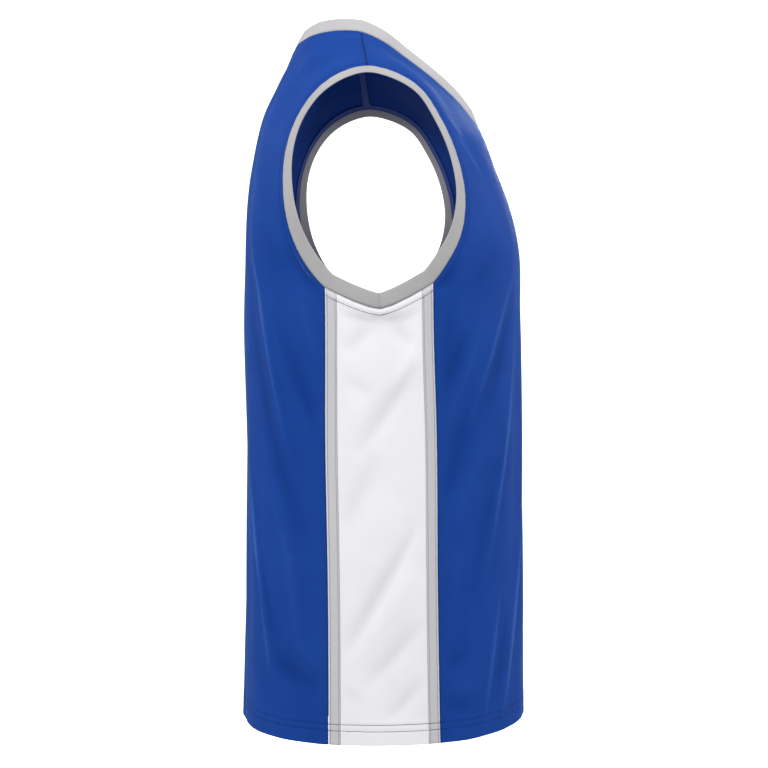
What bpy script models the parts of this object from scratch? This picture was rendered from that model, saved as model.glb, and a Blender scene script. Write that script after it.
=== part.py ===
"""A sleeveless flag football jersey, hollow and open as it is when worn.

Metres, +Z up. The front faces -Y and the wearer's right side is at -X. The
origin is midway between the two side neck points, where the shoulder seams
meet the neckline, and the garment hangs below it from the wearer's shoulders.

Each panel is a sheet of rows that run from a guide line near the body's middle
to one at its side. The sheet is the cloth's outer face, and a Solidify modifier
gives it its wall. A guide line is a short table of places on the body with the
way that the cloth faces there, so neighbouring panels meet without a crease.
"""

from collections import namedtuple

import bmesh
import bpy
import numpy as np

# Walls and seams.
CLOTH = 0.0012  # wall of a panel
BAND = 0.0016  # wall of a band, which is folded double
TAPE = 0.0010  # wall of a side tape
SEAM_GAP = 0.0003  # between two pieces that are sewn together

# Trim.
NECK_BAND_WIDTH = 0.0175
ARM_BAND_WIDTH = 0.0160
TAPE_WIDTH = 0.0110
TAPE_MARGIN = 0.0018  # side panel that shows between a tape and its seam
MITRE_REACH = 0.060  # how far along a band its corner still skews it
BAND_EASE = 0.014  # how far along a band a bend in its seam is spread

# The body's main places.
HEM = -0.755
UNDERARM_DROP = 0.0242  # from the side seams' tops down to the side panel's notch
NOTCH_CURVE = 1.35  # 1 gives the notch straight sides, and more bends them up
NECK_POINT = (0.0900, 0.0, 0.0)  # where a shoulder seam meets the neckline
SHOULDER_POINT = (0.1720, -0.0073, -0.0488)  # where it meets the armhole

# Fineness of the sheets.
COLUMNS = 12  # from the middle of a panel to its side
TORSO_ROWS = 18  # hem to underarm
CHEST_ROWS = 8  # underarm to the foot of the neckline
STRAP_ROWS = 9  # foot of the neckline to the shoulder seam
SIDE_MIDDLE_COLUMNS = 5  # of a side panel, between its tapes
BAND_COLUMNS = 3

# How full a side panel's row bulges between its ends, against the straight
# distance. The front's and back's are in their cuts.
SIDE_FULLNESS = 1.05

# Guide lines, from the bottom up. heading is the way that the cloth faces, in
# degrees from straight ahead (0) to the side (90) and the back (180), and pitch
# is how far it faces upwards.
Place = namedtuple("Place", "x y z heading pitch")

CENTRE_FRONT = (
    Place(0.0, -0.1840, HEM, 0, 0),
    Place(0.0, -0.1824, -0.600, 0, 0),
    Place(0.0, -0.1818, -0.425, 0, 0),
    Place(0.0, -0.1786, -0.300, 0, 0),
    Place(0.0, -0.1770, -0.232, 0, 0),
    Place(0.0, -0.1660, -0.186, 0, 0),
    Place(0.0, -0.1488, -0.138, 0, 0),
    Place(0.0, -0.1331, -0.095, 0, 0),
)
CENTRE_BACK = (
    Place(0.0, 0.1335, HEM, 180, 0),
    Place(0.0, 0.1300, -0.600, 180, 0),
    Place(0.0, 0.1296, -0.425, 180, 0),
    Place(0.0, 0.1318, -0.300, 180, 0),
    Place(0.0, 0.1285, -0.220, 180, 0),
    Place(0.0, 0.1190, -0.135, 180, 0),
    Place(0.0, 0.1035, -0.072, 180, 0),
    Place(0.0, 0.0850, -0.030, 180, 0),
    Place(0.0, 0.0740, -0.003, 180, 0),
)
FRONT_SEAM = (
    Place(0.1790, -0.0842, HEM, 68, 0),
    Place(0.1800, -0.0815, -0.600, 67, 0),
    Place(0.1810, -0.0800, -0.430, 67, 0),
    Place(0.1850, -0.0767, -0.320, 68, 0),
    Place(0.1868, -0.0762, -0.275, 68, 0),
)
BACK_SEAM = (
    Place(0.1863, 0.0330, HEM, 104, 0),
    Place(0.1850, 0.0335, -0.600, 104, 0),
    Place(0.1850, 0.0362, -0.430, 104, 0),
    Place(0.1880, 0.0360, -0.320, 104, 0),
    Place(0.1890, 0.0363, -0.280, 104, 0),
)
FRONT_ARMHOLE = (
    Place(0.1868, -0.0762, -0.2750, 68, 0),
    Place(0.1800, -0.0930, -0.2509, 58, 0),
    Place(0.1730, -0.1037, -0.2298, 50, 0),
    Place(0.1630, -0.1104, -0.1873, 36, 5),
    Place(0.1590, -0.1032, -0.1450, 29, 12),
    Place(0.1600, -0.0854, -0.1031, 29, 25),
    Place(0.1645, -0.0620, -0.0700, 38, 42),
    Place(0.1700, -0.0320, -0.0535, 65, 55),
    Place(*SHOULDER_POINT, 92, 59),
)
BACK_ARMHOLE = (
    Place(0.1890, 0.0363, -0.2800, 104, 0),
    Place(0.1820, 0.0595, -0.2510, 118, 0),
    Place(0.1770, 0.0720, -0.2240, 128, 0),
    Place(0.1700, 0.0806, -0.1750, 142, 2),
    Place(0.1665, 0.0765, -0.1300, 150, 12),
    Place(0.1665, 0.0630, -0.0960, 150, 25),
    Place(0.1685, 0.0430, -0.0705, 140, 40),
    Place(0.1710, 0.0190, -0.0550, 112, 54),
    Place(*SHOULDER_POINT, 92, 59),
)
FRONT_NECK = (
    Place(0.0000, -0.1331, -0.0950, 0, 20),
    Place(0.0200, -0.1150, -0.0745, 4, 24),
    Place(0.0460, -0.0850, -0.0490, 12, 34),
    Place(0.0700, -0.0508, -0.0262, 30, 46),
    Place(0.0860, -0.0180, -0.0065, 70, 56),
    Place(*NECK_POINT, 92, 59),
)
BACK_NECK = (
    Place(0.0000, 0.0740, -0.0030, 180, 18),
    Place(0.0400, 0.0680, -0.0034, 168, 24),
    Place(0.0720, 0.0480, 0.0006, 148, 34),
    Place(0.0870, 0.0230, 0.0018, 112, 50),
    Place(*NECK_POINT, 92, 59),
)

# A panel's cut. underarm_share is the share of its centre line below the
# underarm, and neck_share that of its armhole below the foot of the neckline.
Cut = namedtuple(
    "Cut", "centre seam armhole neck other_armhole other_neck underarm_share neck_share fullness"
)
FRONT_CUT = Cut(
    CENTRE_FRONT, FRONT_SEAM, FRONT_ARMHOLE, FRONT_NECK, BACK_ARMHOLE, BACK_NECK, 0.722, 0.52, 1.02
)
BACK_CUT = Cut(
    CENTRE_BACK, BACK_SEAM, BACK_ARMHOLE, BACK_NECK, FRONT_ARMHOLE, FRONT_NECK, 0.620, 0.60, 1.18
)
SHOULDER_GAP = 0.0012  # half the gap at a shoulder seam, as a share of its lines

# How far the neck band tips out of the cloth's own slope along its way from the
# front notch to the centre back: share of the way, lift.
Lift = namedtuple("Lift", "share amount")
NECK_LIFTS = (
    Lift(0.00, 0.22),
    Lift(0.15, 0.34),
    Lift(0.35, 0.32),
    Lift(0.59, 0.40),
    Lift(0.80, 0.02),
    Lift(1.00, -0.22),
)

# The largest folds. across is metres from the panel's middle towards the
# wearer's left, height is z, bow bends the line sideways, width is half the
# fold's breadth and depth is how far it stands out, or sinks in when negative.
Fold = namedtuple(
    "Fold", "across0 height0 across1 height1 bow width depth"
)
FRONT_FOLDS = (
    Fold(-0.094, -0.283, -0.168, -0.470, 0.004, 0.014, 0.0041),
    Fold(-0.078, -0.345, -0.160, -0.640, 0.004, 0.015, 0.0036),
    Fold(-0.056, -0.490, -0.128, -0.722, 0.004, 0.016, 0.0034),
    Fold(-0.115, -0.580, -0.130, -0.735, -0.004, 0.015, -0.0024),
    Fold(0.104, -0.300, 0.152, -0.585, -0.008, 0.017, 0.0036),
    Fold(0.138, -0.310, 0.120, -0.440, -0.004, 0.014, -0.0027),
    Fold(0.064, -0.550, 0.094, -0.720, -0.006, 0.019, 0.0032),
    Fold(0.004, -0.360, -0.012, -0.640, 0.008, 0.024, -0.0022),
)
BACK_FOLDS = (
    Fold(-0.117, -0.190, -0.186, -0.490, 0.004, 0.016, 0.0041),
    Fold(-0.150, -0.300, -0.118, -0.520, -0.006, 0.015, -0.0032),
    Fold(-0.092, -0.440, -0.158, -0.705, 0.004, 0.018, 0.0038),
    Fold(0.076, -0.230, 0.132, -0.470, -0.008, 0.018, 0.0038),
    Fold(0.152, -0.310, 0.120, -0.500, 0.006, 0.015, -0.0030),
    Fold(0.050, -0.460, 0.090, -0.710, -0.007, 0.020, 0.0035),
    Fold(0.006, -0.290, 0.000, -0.600, 0.006, 0.026, -0.0024),
)

# Finishes: name, colour, roughness.
Finish = namedtuple("Finish", "name colour roughness")
BLUE_KNIT = Finish("blue_knit", (0.018, 0.078, 0.390), 0.62)
WHITE_KNIT = Finish("white_knit", (0.86, 0.86, 0.87), 0.66)
GREY_KNIT = Finish("grey_knit", (0.46, 0.46, 0.46), 0.66)
GREY_TAPE = Finish("grey_tape", (0.56, 0.56, 0.58), 0.60)


def unit(vectors):
    """The same directions with length 1."""
    vectors = np.asarray(vectors, dtype=float)
    return vectors / np.linalg.norm(vectors, axis=-1, keepdims=True)


def across_part(vectors, directions):
    """What is left of vectors without their part along directions."""
    along = np.sum(vectors * directions, axis=-1, keepdims=True)
    return vectors - along * directions


def hermite(share, start, end, start_slope, end_slope):
    """A cubic from start to end with the given slopes there."""
    square, cube = share ** 2, share ** 3
    return (
        (2 * cube - 3 * square + 1) * start
        + (cube - 2 * square + share) * start_slope
        + (3 * square - 2 * cube) * end
        + (cube - square) * end_slope
    )


def along(stations, shares):
    """Values at shares of the length of a smooth line through stations."""
    stations = np.asarray(stations, dtype=float)
    way = distances(stations[:, :3])
    knots = way / way[-1]
    slopes = np.gradient(stations, knots, axis=0, edge_order=2)
    shares = np.asarray(shares, dtype=float)
    index = np.clip(np.searchsorted(knots, shares, side="right") - 1, 0, len(knots) - 2)
    span = (knots[index + 1] - knots[index])[:, None]
    local = (shares - knots[index])[:, None] / span
    return hermite(
        local, stations[index], stations[index + 1], slopes[index] * span, slopes[index + 1] * span
    )


def guide(places, shares):
    """Points of a guide line, and the way that the cloth faces at each."""
    table = np.array(places, dtype=float)
    heading, pitch = np.radians(table[:, 3]), np.radians(table[:, 4])
    facing = np.stack(
        (np.sin(heading) * np.cos(pitch), -np.cos(heading) * np.cos(pitch), np.sin(pitch)), axis=1
    )
    stations = np.hstack((table[:, :3], facing))
    shares = np.asarray(shares, dtype=float)
    values = along(stations, shares)
    step = 0.004
    ahead = along(stations, np.clip(shares + step, 0.0, 1.0))[:, :3]
    behind = along(stations, np.clip(shares - step, 0.0, 1.0))[:, :3]
    return values[:, :3], unit(across_part(values[:, 3:], unit(ahead - behind)))


def distances(points):
    """How far along a line each of its points is."""
    return np.concatenate(([0.0], np.cumsum(np.linalg.norm(np.diff(points, axis=0), axis=1))))


def joint_share(places, index):
    """The share of a line's length at one of its places."""
    way = distances(np.array(places, dtype=float)[:, :3])
    return way[index] / way[-1]


def rows_between(inner, outer, fullness, shares):
    """A sheet of rows from one guide line to another, square to both facings."""
    start, start_facing = inner
    end, end_facing = outer
    chord = end - start
    reach = np.linalg.norm(chord, axis=1, keepdims=True) * np.reshape(fullness, (-1, 1))
    start_slope = unit(across_part(chord, start_facing)) * reach
    end_slope = unit(across_part(chord, end_facing)) * reach
    columns = [hermite(share, start, end, start_slope, end_slope) for share in shares]
    return np.stack(columns, axis=1)


def sheet_normals(sheet):
    """The outward direction at each point of a sheet whose rows run left."""
    upwards = np.gradient(sheet, axis=0)
    sideways = np.gradient(sheet, axis=1)
    return unit(np.cross(sideways, upwards))


def fold_height(folds, across, height):
    """How far the folds move the cloth out at each point."""
    total = np.zeros_like(across)
    for fold in folds:
        line = np.array((fold.across1 - fold.across0, fold.height1 - fold.height0))
        length = np.linalg.norm(line)
        line = line / length
        from_start = (across - fold.across0, height - fold.height0)
        share = (from_start[0] * line[0] + from_start[1] * line[1]) / length
        beside = from_start[0] * line[1] - from_start[1] * line[0]
        inside = np.clip(share, 0.0, 1.0)
        fade = np.sin(np.pi * inside) ** 1.2
        beside = beside - fold.bow * np.sin(np.pi * inside)
        total += fold.depth * fade * np.exp(-((beside / fold.width) ** 2))
    return total


def half_panel(cut):
    """The left half of the front or back, from the hem to the shoulder seam."""
    torso = np.linspace(0.0, 1.0, TORSO_ROWS + 1)
    chest = np.linspace(0.0, 1.0, CHEST_ROWS + 1)[1:]
    strap = np.linspace(0.0, 1.0, STRAP_ROWS + 1)[1:]
    # The neck and armhole lines carry on over the shoulder into the other panel.
    neck = cut.neck + cut.other_neck[-2::-1]
    armhole = cut.armhole + cut.other_armhole[-2::-1]
    neck_top = joint_share(neck, len(cut.neck) - 1) - SHOULDER_GAP
    armhole_top = joint_share(armhole, len(cut.armhole) - 1) - SHOULDER_GAP
    level = cut.neck_share * armhole_top
    inner_parts = (
        guide(cut.centre, torso * cut.underarm_share),
        guide(cut.centre, cut.underarm_share + chest * (1.0 - cut.underarm_share)),
        guide(neck, strap * neck_top),
    )
    outer_parts = (
        guide(cut.seam, torso),
        guide(armhole, chest * level),
        guide(armhole, level + strap * (armhole_top - level)),
    )
    inner = [np.vstack(column) for column in zip(*inner_parts)]
    outer = [np.vstack(column) for column in zip(*outer_parts)]
    width = np.linalg.norm(outer[0][0] - inner[0][0])
    shares = np.linspace(0.0, 1.0 - 0.5 * SEAM_GAP / width, COLUMNS + 1)
    fullness = np.concatenate(
        (np.full(TORSO_ROWS + CHEST_ROWS + 1, cut.fullness), cut.fullness + strap * (1.0 - cut.fullness))
    )
    return rows_between(inner, outer, fullness, shares)


def folded_half(sheet, folds, side):
    """One half of a panel with its folds; side is 1 on the wearer's left."""
    normals = sheet_normals(sheet)
    if normals[0, 0, 1] * sheet[0, 0, 1] < 0.0:
        normals = -normals
    foot = TORSO_ROWS + CHEST_ROWS
    normals[: foot + 1, 0, 0] = 0.0
    normals = unit(normals)
    steps = np.linalg.norm(np.diff(sheet, axis=1), axis=2)
    across = np.concatenate((sheet[:, :1, 0], sheet[:, :1, 0] + np.cumsum(steps, axis=1)), axis=1)
    edge_fade = np.clip((across[:, -1:] - across) / 0.025, 0.0, 1.0)
    moved = sheet + normals * (fold_height(folds, side * across, sheet[..., 2]) * edge_fade)[..., None]
    return moved * (side, 1.0, 1.0)


def side_sheet(shares):
    """The left side panel, its top edge notched at the underarm."""
    levels = np.linspace(0.0, 1.0, TORSO_ROWS + 1)
    sheet = rows_between(guide(FRONT_SEAM, levels), guide(BACK_SEAM, levels), SIDE_FULLNESS, shares)
    notch = 1.0 - np.abs(2.0 * np.asarray(shares) - 1.0) ** NOTCH_CURVE
    sheet[..., 2] -= UNDERARM_DROP * notch[None, :] * levels[:, None] ** 2
    return sheet


def side_shares():
    """Column places of a side panel: its edges, its tapes' edges and between."""
    front = guide(FRONT_SEAM, [0.5])[0][0]
    back = guide(BACK_SEAM, [0.5])[0][0]
    breadth = np.linalg.norm(back - front) * 1.02
    gap = 0.5 * SEAM_GAP / breadth
    outer = TAPE_MARGIN / breadth
    inner = (TAPE_MARGIN + TAPE_WIDTH) / breadth
    middle = np.linspace(inner, 1.0 - inner, SIDE_MIDDLE_COLUMNS)
    return np.concatenate(([gap, outer], middle, [1.0 - outer, 1.0 - gap]))


def band_sheet(edge, inside, width, lift):
    """A band sewn along edge, whose two ends meet at a mitre.

    edge runs from the mitre round to it again, and inside holds a point of the
    panel behind each point of it.
    """
    tangent = unit(np.gradient(edge, axis=0))
    way = distances(edge)
    outwards = unit(across_part(edge - inside, tangent))
    nearness = np.exp(-(((way[:, None] - way[None, :]) / BAND_EASE) ** 2))
    outwards = unit(nearness @ outwards)
    outwards = unit(outwards + lift[:, None] * np.cross(tangent, outwards))
    start = edge + outwards * SEAM_GAP
    crossing = outwards * width
    bisector = unit(outwards[0] + outwards[-1])
    for end, distance in ((0, way), (-1, way[-1] - way)):
        mitre = bisector * width / np.dot(outwards[end], bisector)
        skew = np.dot(mitre - crossing[end], tangent[end])
        crossing = crossing + tangent * (skew * np.clip(1.0 - distance / MITRE_REACH, 0.0, 1.0))[:, None]
    start[0] += tangent[0] * 0.5 * SEAM_GAP
    start[-1] -= tangent[-1] * 0.5 * SEAM_GAP
    shares = np.linspace(0.0, 1.0, BAND_COLUMNS + 1)
    return start[:, None, :] + crossing[:, None, :] * shares[None, :, None]


def neck_band_sheet(front, back):
    """The neck band, from the front's notch round the neck to it again."""
    foot = TORSO_ROWS + CHEST_ROWS
    edges, insides = [], []
    for sheet in (front, back):
        edges.append(sheet[foot:, 0])
        insides.append(sheet[foot:, 1])
    insides[1][0] = back[foot - 1, 0]
    half_edge = np.vstack((edges[0], edges[1][::-1][1:]))
    half_inside = np.vstack((insides[0], insides[1][::-1][1:]))
    mirror = np.array((-1.0, 1.0, 1.0))
    edge = np.vstack((half_edge, (half_edge * mirror)[::-1][1:]))
    inside = np.vstack((half_inside, (half_inside * mirror)[::-1][1:]))
    way = distances(edge)
    way = 2.0 * np.minimum(way, way[-1] - way) / way[-1]
    lifts = np.array(NECK_LIFTS)
    return band_sheet(edge, inside, NECK_BAND_WIDTH, np.interp(way, lifts[:, 0], lifts[:, 1]))


def arm_band_sheet(front, back, side_panel):
    """The left armhole band, from the underarm notch round it again."""
    middle = side_panel.shape[1] // 2
    top, below = side_panel[-1], side_panel[-2]
    front_edge, front_inside = front[TORSO_ROWS:, -1], front[TORSO_ROWS:, -2]
    back_edge, back_inside = back[TORSO_ROWS:, -1], back[TORSO_ROWS:, -2]
    edge = np.vstack(
        (top[middle:1:-1], front_edge, back_edge[::-1][1:], top[-3:middle - 1:-1])
    )
    inside = np.vstack(
        (below[middle:1:-1], front_inside, back_inside[::-1][1:], below[-3:middle - 1:-1])
    )
    return band_sheet(edge, inside, ARM_BAND_WIDTH, np.zeros(len(edge)))


def material(finish):
    """A plain Principled material of one finish."""
    result = bpy.data.materials.new(finish.name)
    result.use_nodes = True
    shader = result.node_tree.nodes["Principled BSDF"]
    shader.inputs["Base Color"].default_value = (*finish.colour, 1.0)
    shader.inputs["Roughness"].default_value = finish.roughness
    shader.inputs["Metallic"].default_value = 0.0
    return result


def cloth_object(name, sheets, wall, finish):
    """An object of one or more sheets welded where they meet, with a wall."""
    shape = bmesh.new()
    for sheet, flip in sheets:
        rows, columns = sheet.shape[:2]
        corners = [[shape.verts.new(sheet[row, column]) for column in range(columns)] for row in range(rows)]
        for row in range(rows - 1):
            for column in range(columns - 1):
                ring = [
                    corners[row][column],
                    corners[row][column + 1],
                    corners[row + 1][column + 1],
                    corners[row + 1][column],
                ]
                shape.faces.new(ring[::-1] if flip else ring)
    bmesh.ops.remove_doubles(shape, verts=shape.verts, dist=1e-6)
    mesh = bpy.data.meshes.new(name)
    shape.to_mesh(mesh)
    shape.free()
    mesh.shade_smooth()
    mesh.materials.append(finish)
    cloth = bpy.data.objects.new(name, mesh)
    bpy.context.scene.collection.objects.link(cloth)
    solidify = cloth.modifiers.new("wall", "SOLIDIFY")
    solidify.thickness = wall
    solidify.offset = -1.0
    solidify.use_even_offset = False
    return cloth


def main():
    """Build every piece of the jersey."""
    for old in list(bpy.data.objects):
        bpy.data.objects.remove(old, do_unlink=True)

    blue, white = material(BLUE_KNIT), material(WHITE_KNIT)
    grey, tape_grey = material(GREY_KNIT), material(GREY_TAPE)

    front = half_panel(FRONT_CUT)
    back = half_panel(BACK_CUT)
    side_panel = side_sheet(side_shares())
    mirror = np.array((-1.0, 1.0, 1.0))

    cloth_object(
        "front_panel",
        ((folded_half(front, FRONT_FOLDS, 1), False), (folded_half(front, FRONT_FOLDS, -1), True)),
        CLOTH, blue,
    )
    cloth_object(
        "back_panel",
        ((folded_half(back, BACK_FOLDS, 1), True), (folded_half(back, BACK_FOLDS, -1), False)),
        CLOTH, blue,
    )
    cloth_object("neck_band", ((neck_band_sheet(front, back), False),), BAND, grey)

    arm_band = arm_band_sheet(front, back, side_panel)
    tape_rise = TAPE + SEAM_GAP
    raised = side_panel + sheet_normals(side_panel) * tape_rise
    for side, sign in (("left", 1.0), ("right", -1.0)):
        flip = sign < 0.0
        turn = mirror if flip else np.ones(3)
        cloth_object("side_panel_" + side, ((side_panel * turn, flip),), CLOTH, white)
        cloth_object("side_tape_front_" + side, ((raised[:, 1:3] * turn, flip),), TAPE, tape_grey)
        cloth_object("side_tape_back_" + side, ((raised[:, -3:-1] * turn, flip),), TAPE, tape_grey)
        cloth_object("armhole_band_" + side, ((arm_band * turn, flip),), BAND, grey)


main()
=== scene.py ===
"""A sleeveless flag football jersey, dressed for a plain studio.

Metres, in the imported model's frame: +Z is up, the front faces -Y and the wearer's
right side, which the camera looks at, is at -X. The origin is midway between the
two side neck points. Every piece of cloth is a thin shell on its solid's form.
"""

import logging
import math
from dataclasses import dataclass, field
from enum import Enum
from typing import Any, NamedTuple, Sequence

import bpy
import numpy as np
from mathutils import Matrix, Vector
from mathutils.bvhtree import BVHTree


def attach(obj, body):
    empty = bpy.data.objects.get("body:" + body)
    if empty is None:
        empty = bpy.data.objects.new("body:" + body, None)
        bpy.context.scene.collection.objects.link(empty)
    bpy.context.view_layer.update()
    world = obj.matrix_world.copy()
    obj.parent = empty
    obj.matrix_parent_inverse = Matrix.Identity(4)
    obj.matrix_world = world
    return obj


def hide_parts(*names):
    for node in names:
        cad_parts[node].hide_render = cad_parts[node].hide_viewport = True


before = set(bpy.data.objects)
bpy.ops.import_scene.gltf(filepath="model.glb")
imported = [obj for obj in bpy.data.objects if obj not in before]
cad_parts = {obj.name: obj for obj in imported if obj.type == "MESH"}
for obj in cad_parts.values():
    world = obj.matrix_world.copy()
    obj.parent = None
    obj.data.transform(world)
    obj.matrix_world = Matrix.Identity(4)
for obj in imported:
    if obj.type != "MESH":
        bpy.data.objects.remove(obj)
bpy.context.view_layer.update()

LOG = logging.getLogger("jersey")
BODY = "root"
MM = 0.001

HEM = -0.755  # its height
TORSO_LENGTH = 0.480  # along a side seam, from the hem to the underarm
SEAM_GAP = 0.3 * MM  # between two pieces that are sewn together
SHOULDER_GAP = 0.0012  # half the shoulder seam's, as a share of the neckline or the armhole
TAPE_WIDTH = 11.0 * MM
TAPE_MARGIN = 1.8 * MM  # of the side panel, outside a tape
SIDE_FULLNESS = 1.05  # how much the side panel bulges
UNDERARM_DROP = 24.2 * MM  # the depth of the notch in its top edge
NOTCH_CURVE = 1.35  # the power of the notch's outline
MIRROR = np.array((-1.0, 1.0, 1.0))
SIDES = (1.0, -1.0)  # the wearer's left and right

Colour = tuple[float, float, float]


# ---------------------------------------------------------------- the body's lines


class Place(NamedTuple):
    """A point on a guide line, and the way that the cloth faces there."""

    x: float
    y: float
    z: float
    heading: float  # degrees from straight ahead (0) to the side (90) and back (180)
    pitch: float  # degrees upwards


def unit(vectors: np.ndarray) -> np.ndarray:
    """The same directions with length 1."""
    return vectors / np.linalg.norm(vectors, axis=-1, keepdims=True)


def across_part(vectors: np.ndarray, directions: np.ndarray) -> np.ndarray:
    """What is left of vectors without their part along directions."""
    return vectors - np.sum(vectors * directions, axis=-1, keepdims=True) * directions


def distances(points: np.ndarray) -> np.ndarray:
    """How far along a line each of its points is."""
    return np.concatenate(([0.0], np.cumsum(np.linalg.norm(np.diff(points, axis=0), axis=1))))


def hermite(share: Any, start: Any, end: Any, start_slope: Any, end_slope: Any) -> np.ndarray:
    """A cubic from one value to another.

    Args:
        share: places along it, from 0 to 1.
        start: its value at 0.
        end: its value at 1.
        start_slope: its slope at 0.
        end_slope: its slope at 1.

    Returns:
        Its values at the places.
    """
    square, cube = share**2, share**3
    return (
        (2 * cube - 3 * square + 1) * start
        + (cube - 2 * square + share) * start_slope
        + (3 * square - 2 * cube) * end
        + (cube - square) * end_slope
    )


def resampled(points: np.ndarray, way: np.ndarray, at: np.ndarray) -> np.ndarray:
    """Rows of points at new distances along a line.

    Args:
        points: a row of values for each known distance.
        way: the known distances.
        at: the distances wanted.

    Returns:
        A row of values for each distance wanted.
    """
    return np.stack([np.interp(at, way, column) for column in points.T], axis=1)


@dataclass(frozen=True)
class GuideLine:
    """A smooth line over the body through a short table of places."""

    places: tuple[Place, ...]

    STEP = 0.004  # the share of its length over which its direction is taken

    def over(self, other: "GuideLine") -> "GuideLine":
        """This line, carried on over the shoulder and down the other one."""
        return GuideLine(self.places + other.places[-2::-1])

    def share_of(self, index: int) -> float:
        """The share of the line's length at one of its places."""
        way = distances(np.array(self.places)[:, :3])
        return way[index] / way[-1]

    def _values(self, shares: np.ndarray) -> np.ndarray:
        """What the table says between its places.

        Args:
            shares: places along the line, from 0 to 1.

        Returns:
            A row for each: the point, then the facing.
        """
        table = np.array(self.places)
        heading, pitch = np.radians(table[:, 3]), np.radians(table[:, 4])
        facing = np.stack(
            (np.sin(heading) * np.cos(pitch), -np.cos(heading) * np.cos(pitch), np.sin(pitch)), axis=1
        )
        stations = np.hstack((table[:, :3], facing))
        way = distances(table[:, :3])
        knots = way / way[-1]
        slopes = np.gradient(stations, knots, axis=0, edge_order=2)
        index = np.clip(np.searchsorted(knots, shares, side="right") - 1, 0, len(knots) - 2)
        span = (knots[index + 1] - knots[index])[:, None]
        local = (shares - knots[index])[:, None] / span
        return hermite(
            local, stations[index], stations[index + 1], slopes[index] * span, slopes[index + 1] * span
        )

    def at(self, shares: Sequence[float]) -> tuple[np.ndarray, np.ndarray]:
        """Points of the line, and the way that the cloth faces at each.

        Args:
            shares: places along the line, from 0 to 1.

        Returns:
            The points and the unit facings, a row for each share.
        """
        shares = np.asarray(shares, dtype=float)
        values = self._values(shares)
        ahead = self._values(np.clip(shares + self.STEP, 0.0, 1.0))[:, :3]
        behind = self._values(np.clip(shares - self.STEP, 0.0, 1.0))[:, :3]
        return values[:, :3], unit(across_part(values[:, 3:], unit(ahead - behind)))


NECK_POINT = (0.0900, 0.0, 0.0)
SHOULDER_POINT = (0.1720, -0.0073, -0.0488)

CENTRE_FRONT = GuideLine((
    Place(0.0, -0.1840, HEM, 0, 0),
    Place(0.0, -0.1824, -0.600, 0, 0),
    Place(0.0, -0.1818, -0.425, 0, 0),
    Place(0.0, -0.1786, -0.300, 0, 0),
    Place(0.0, -0.1770, -0.232, 0, 0),
    Place(0.0, -0.1660, -0.186, 0, 0),
    Place(0.0, -0.1488, -0.138, 0, 0),
    Place(0.0, -0.1331, -0.095, 0, 0),
))
CENTRE_BACK = GuideLine((
    Place(0.0, 0.1335, HEM, 180, 0),
    Place(0.0, 0.1300, -0.600, 180, 0),
    Place(0.0, 0.1296, -0.425, 180, 0),
    Place(0.0, 0.1318, -0.300, 180, 0),
    Place(0.0, 0.1285, -0.220, 180, 0),
    Place(0.0, 0.1190, -0.135, 180, 0),
    Place(0.0, 0.1035, -0.072, 180, 0),
    Place(0.0, 0.0850, -0.030, 180, 0),
    Place(0.0, 0.0740, -0.003, 180, 0),
))
FRONT_SEAM = GuideLine((
    Place(0.1790, -0.0842, HEM, 68, 0),
    Place(0.1800, -0.0815, -0.600, 67, 0),
    Place(0.1810, -0.0800, -0.430, 67, 0),
    Place(0.1850, -0.0767, -0.320, 68, 0),
    Place(0.1868, -0.0762, -0.275, 68, 0),
))
BACK_SEAM = GuideLine((
    Place(0.1863, 0.0330, HEM, 104, 0),
    Place(0.1850, 0.0335, -0.600, 104, 0),
    Place(0.1850, 0.0362, -0.430, 104, 0),
    Place(0.1880, 0.0360, -0.320, 104, 0),
    Place(0.1890, 0.0363, -0.280, 104, 0),
))
FRONT_ARMHOLE = GuideLine((
    Place(0.1868, -0.0762, -0.2750, 68, 0),
    Place(0.1800, -0.0930, -0.2509, 58, 0),
    Place(0.1730, -0.1037, -0.2298, 50, 0),
    Place(0.1630, -0.1104, -0.1873, 36, 5),
    Place(0.1590, -0.1032, -0.1450, 29, 12),
    Place(0.1600, -0.0854, -0.1031, 29, 25),
    Place(0.1645, -0.0620, -0.0700, 38, 42),
    Place(0.1700, -0.0320, -0.0535, 65, 55),
    Place(*SHOULDER_POINT, 92, 59),
))
BACK_ARMHOLE = GuideLine((
    Place(0.1890, 0.0363, -0.2800, 104, 0),
    Place(0.1820, 0.0595, -0.2510, 118, 0),
    Place(0.1770, 0.0720, -0.2240, 128, 0),
    Place(0.1700, 0.0806, -0.1750, 142, 2),
    Place(0.1665, 0.0765, -0.1300, 150, 12),
    Place(0.1665, 0.0630, -0.0960, 150, 25),
    Place(0.1685, 0.0430, -0.0705, 140, 40),
    Place(0.1710, 0.0190, -0.0550, 112, 54),
    Place(*SHOULDER_POINT, 92, 59),
))
FRONT_NECK = GuideLine((
    Place(0.0000, -0.1331, -0.0950, 0, 20),
    Place(0.0200, -0.1150, -0.0745, 4, 24),
    Place(0.0460, -0.0850, -0.0490, 12, 34),
    Place(0.0700, -0.0508, -0.0262, 30, 46),
    Place(0.0860, -0.0180, -0.0065, 70, 56),
    Place(*NECK_POINT, 92, 59),
))
BACK_NECK = GuideLine((
    Place(0.0000, 0.0740, -0.0030, 180, 18),
    Place(0.0400, 0.0680, -0.0034, 168, 24),
    Place(0.0720, 0.0480, 0.0006, 148, 34),
    Place(0.0870, 0.0230, 0.0018, 112, 50),
    Place(*NECK_POINT, 92, 59),
))


# ------------------------------------------------------------------ sheets of cloth


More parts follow.
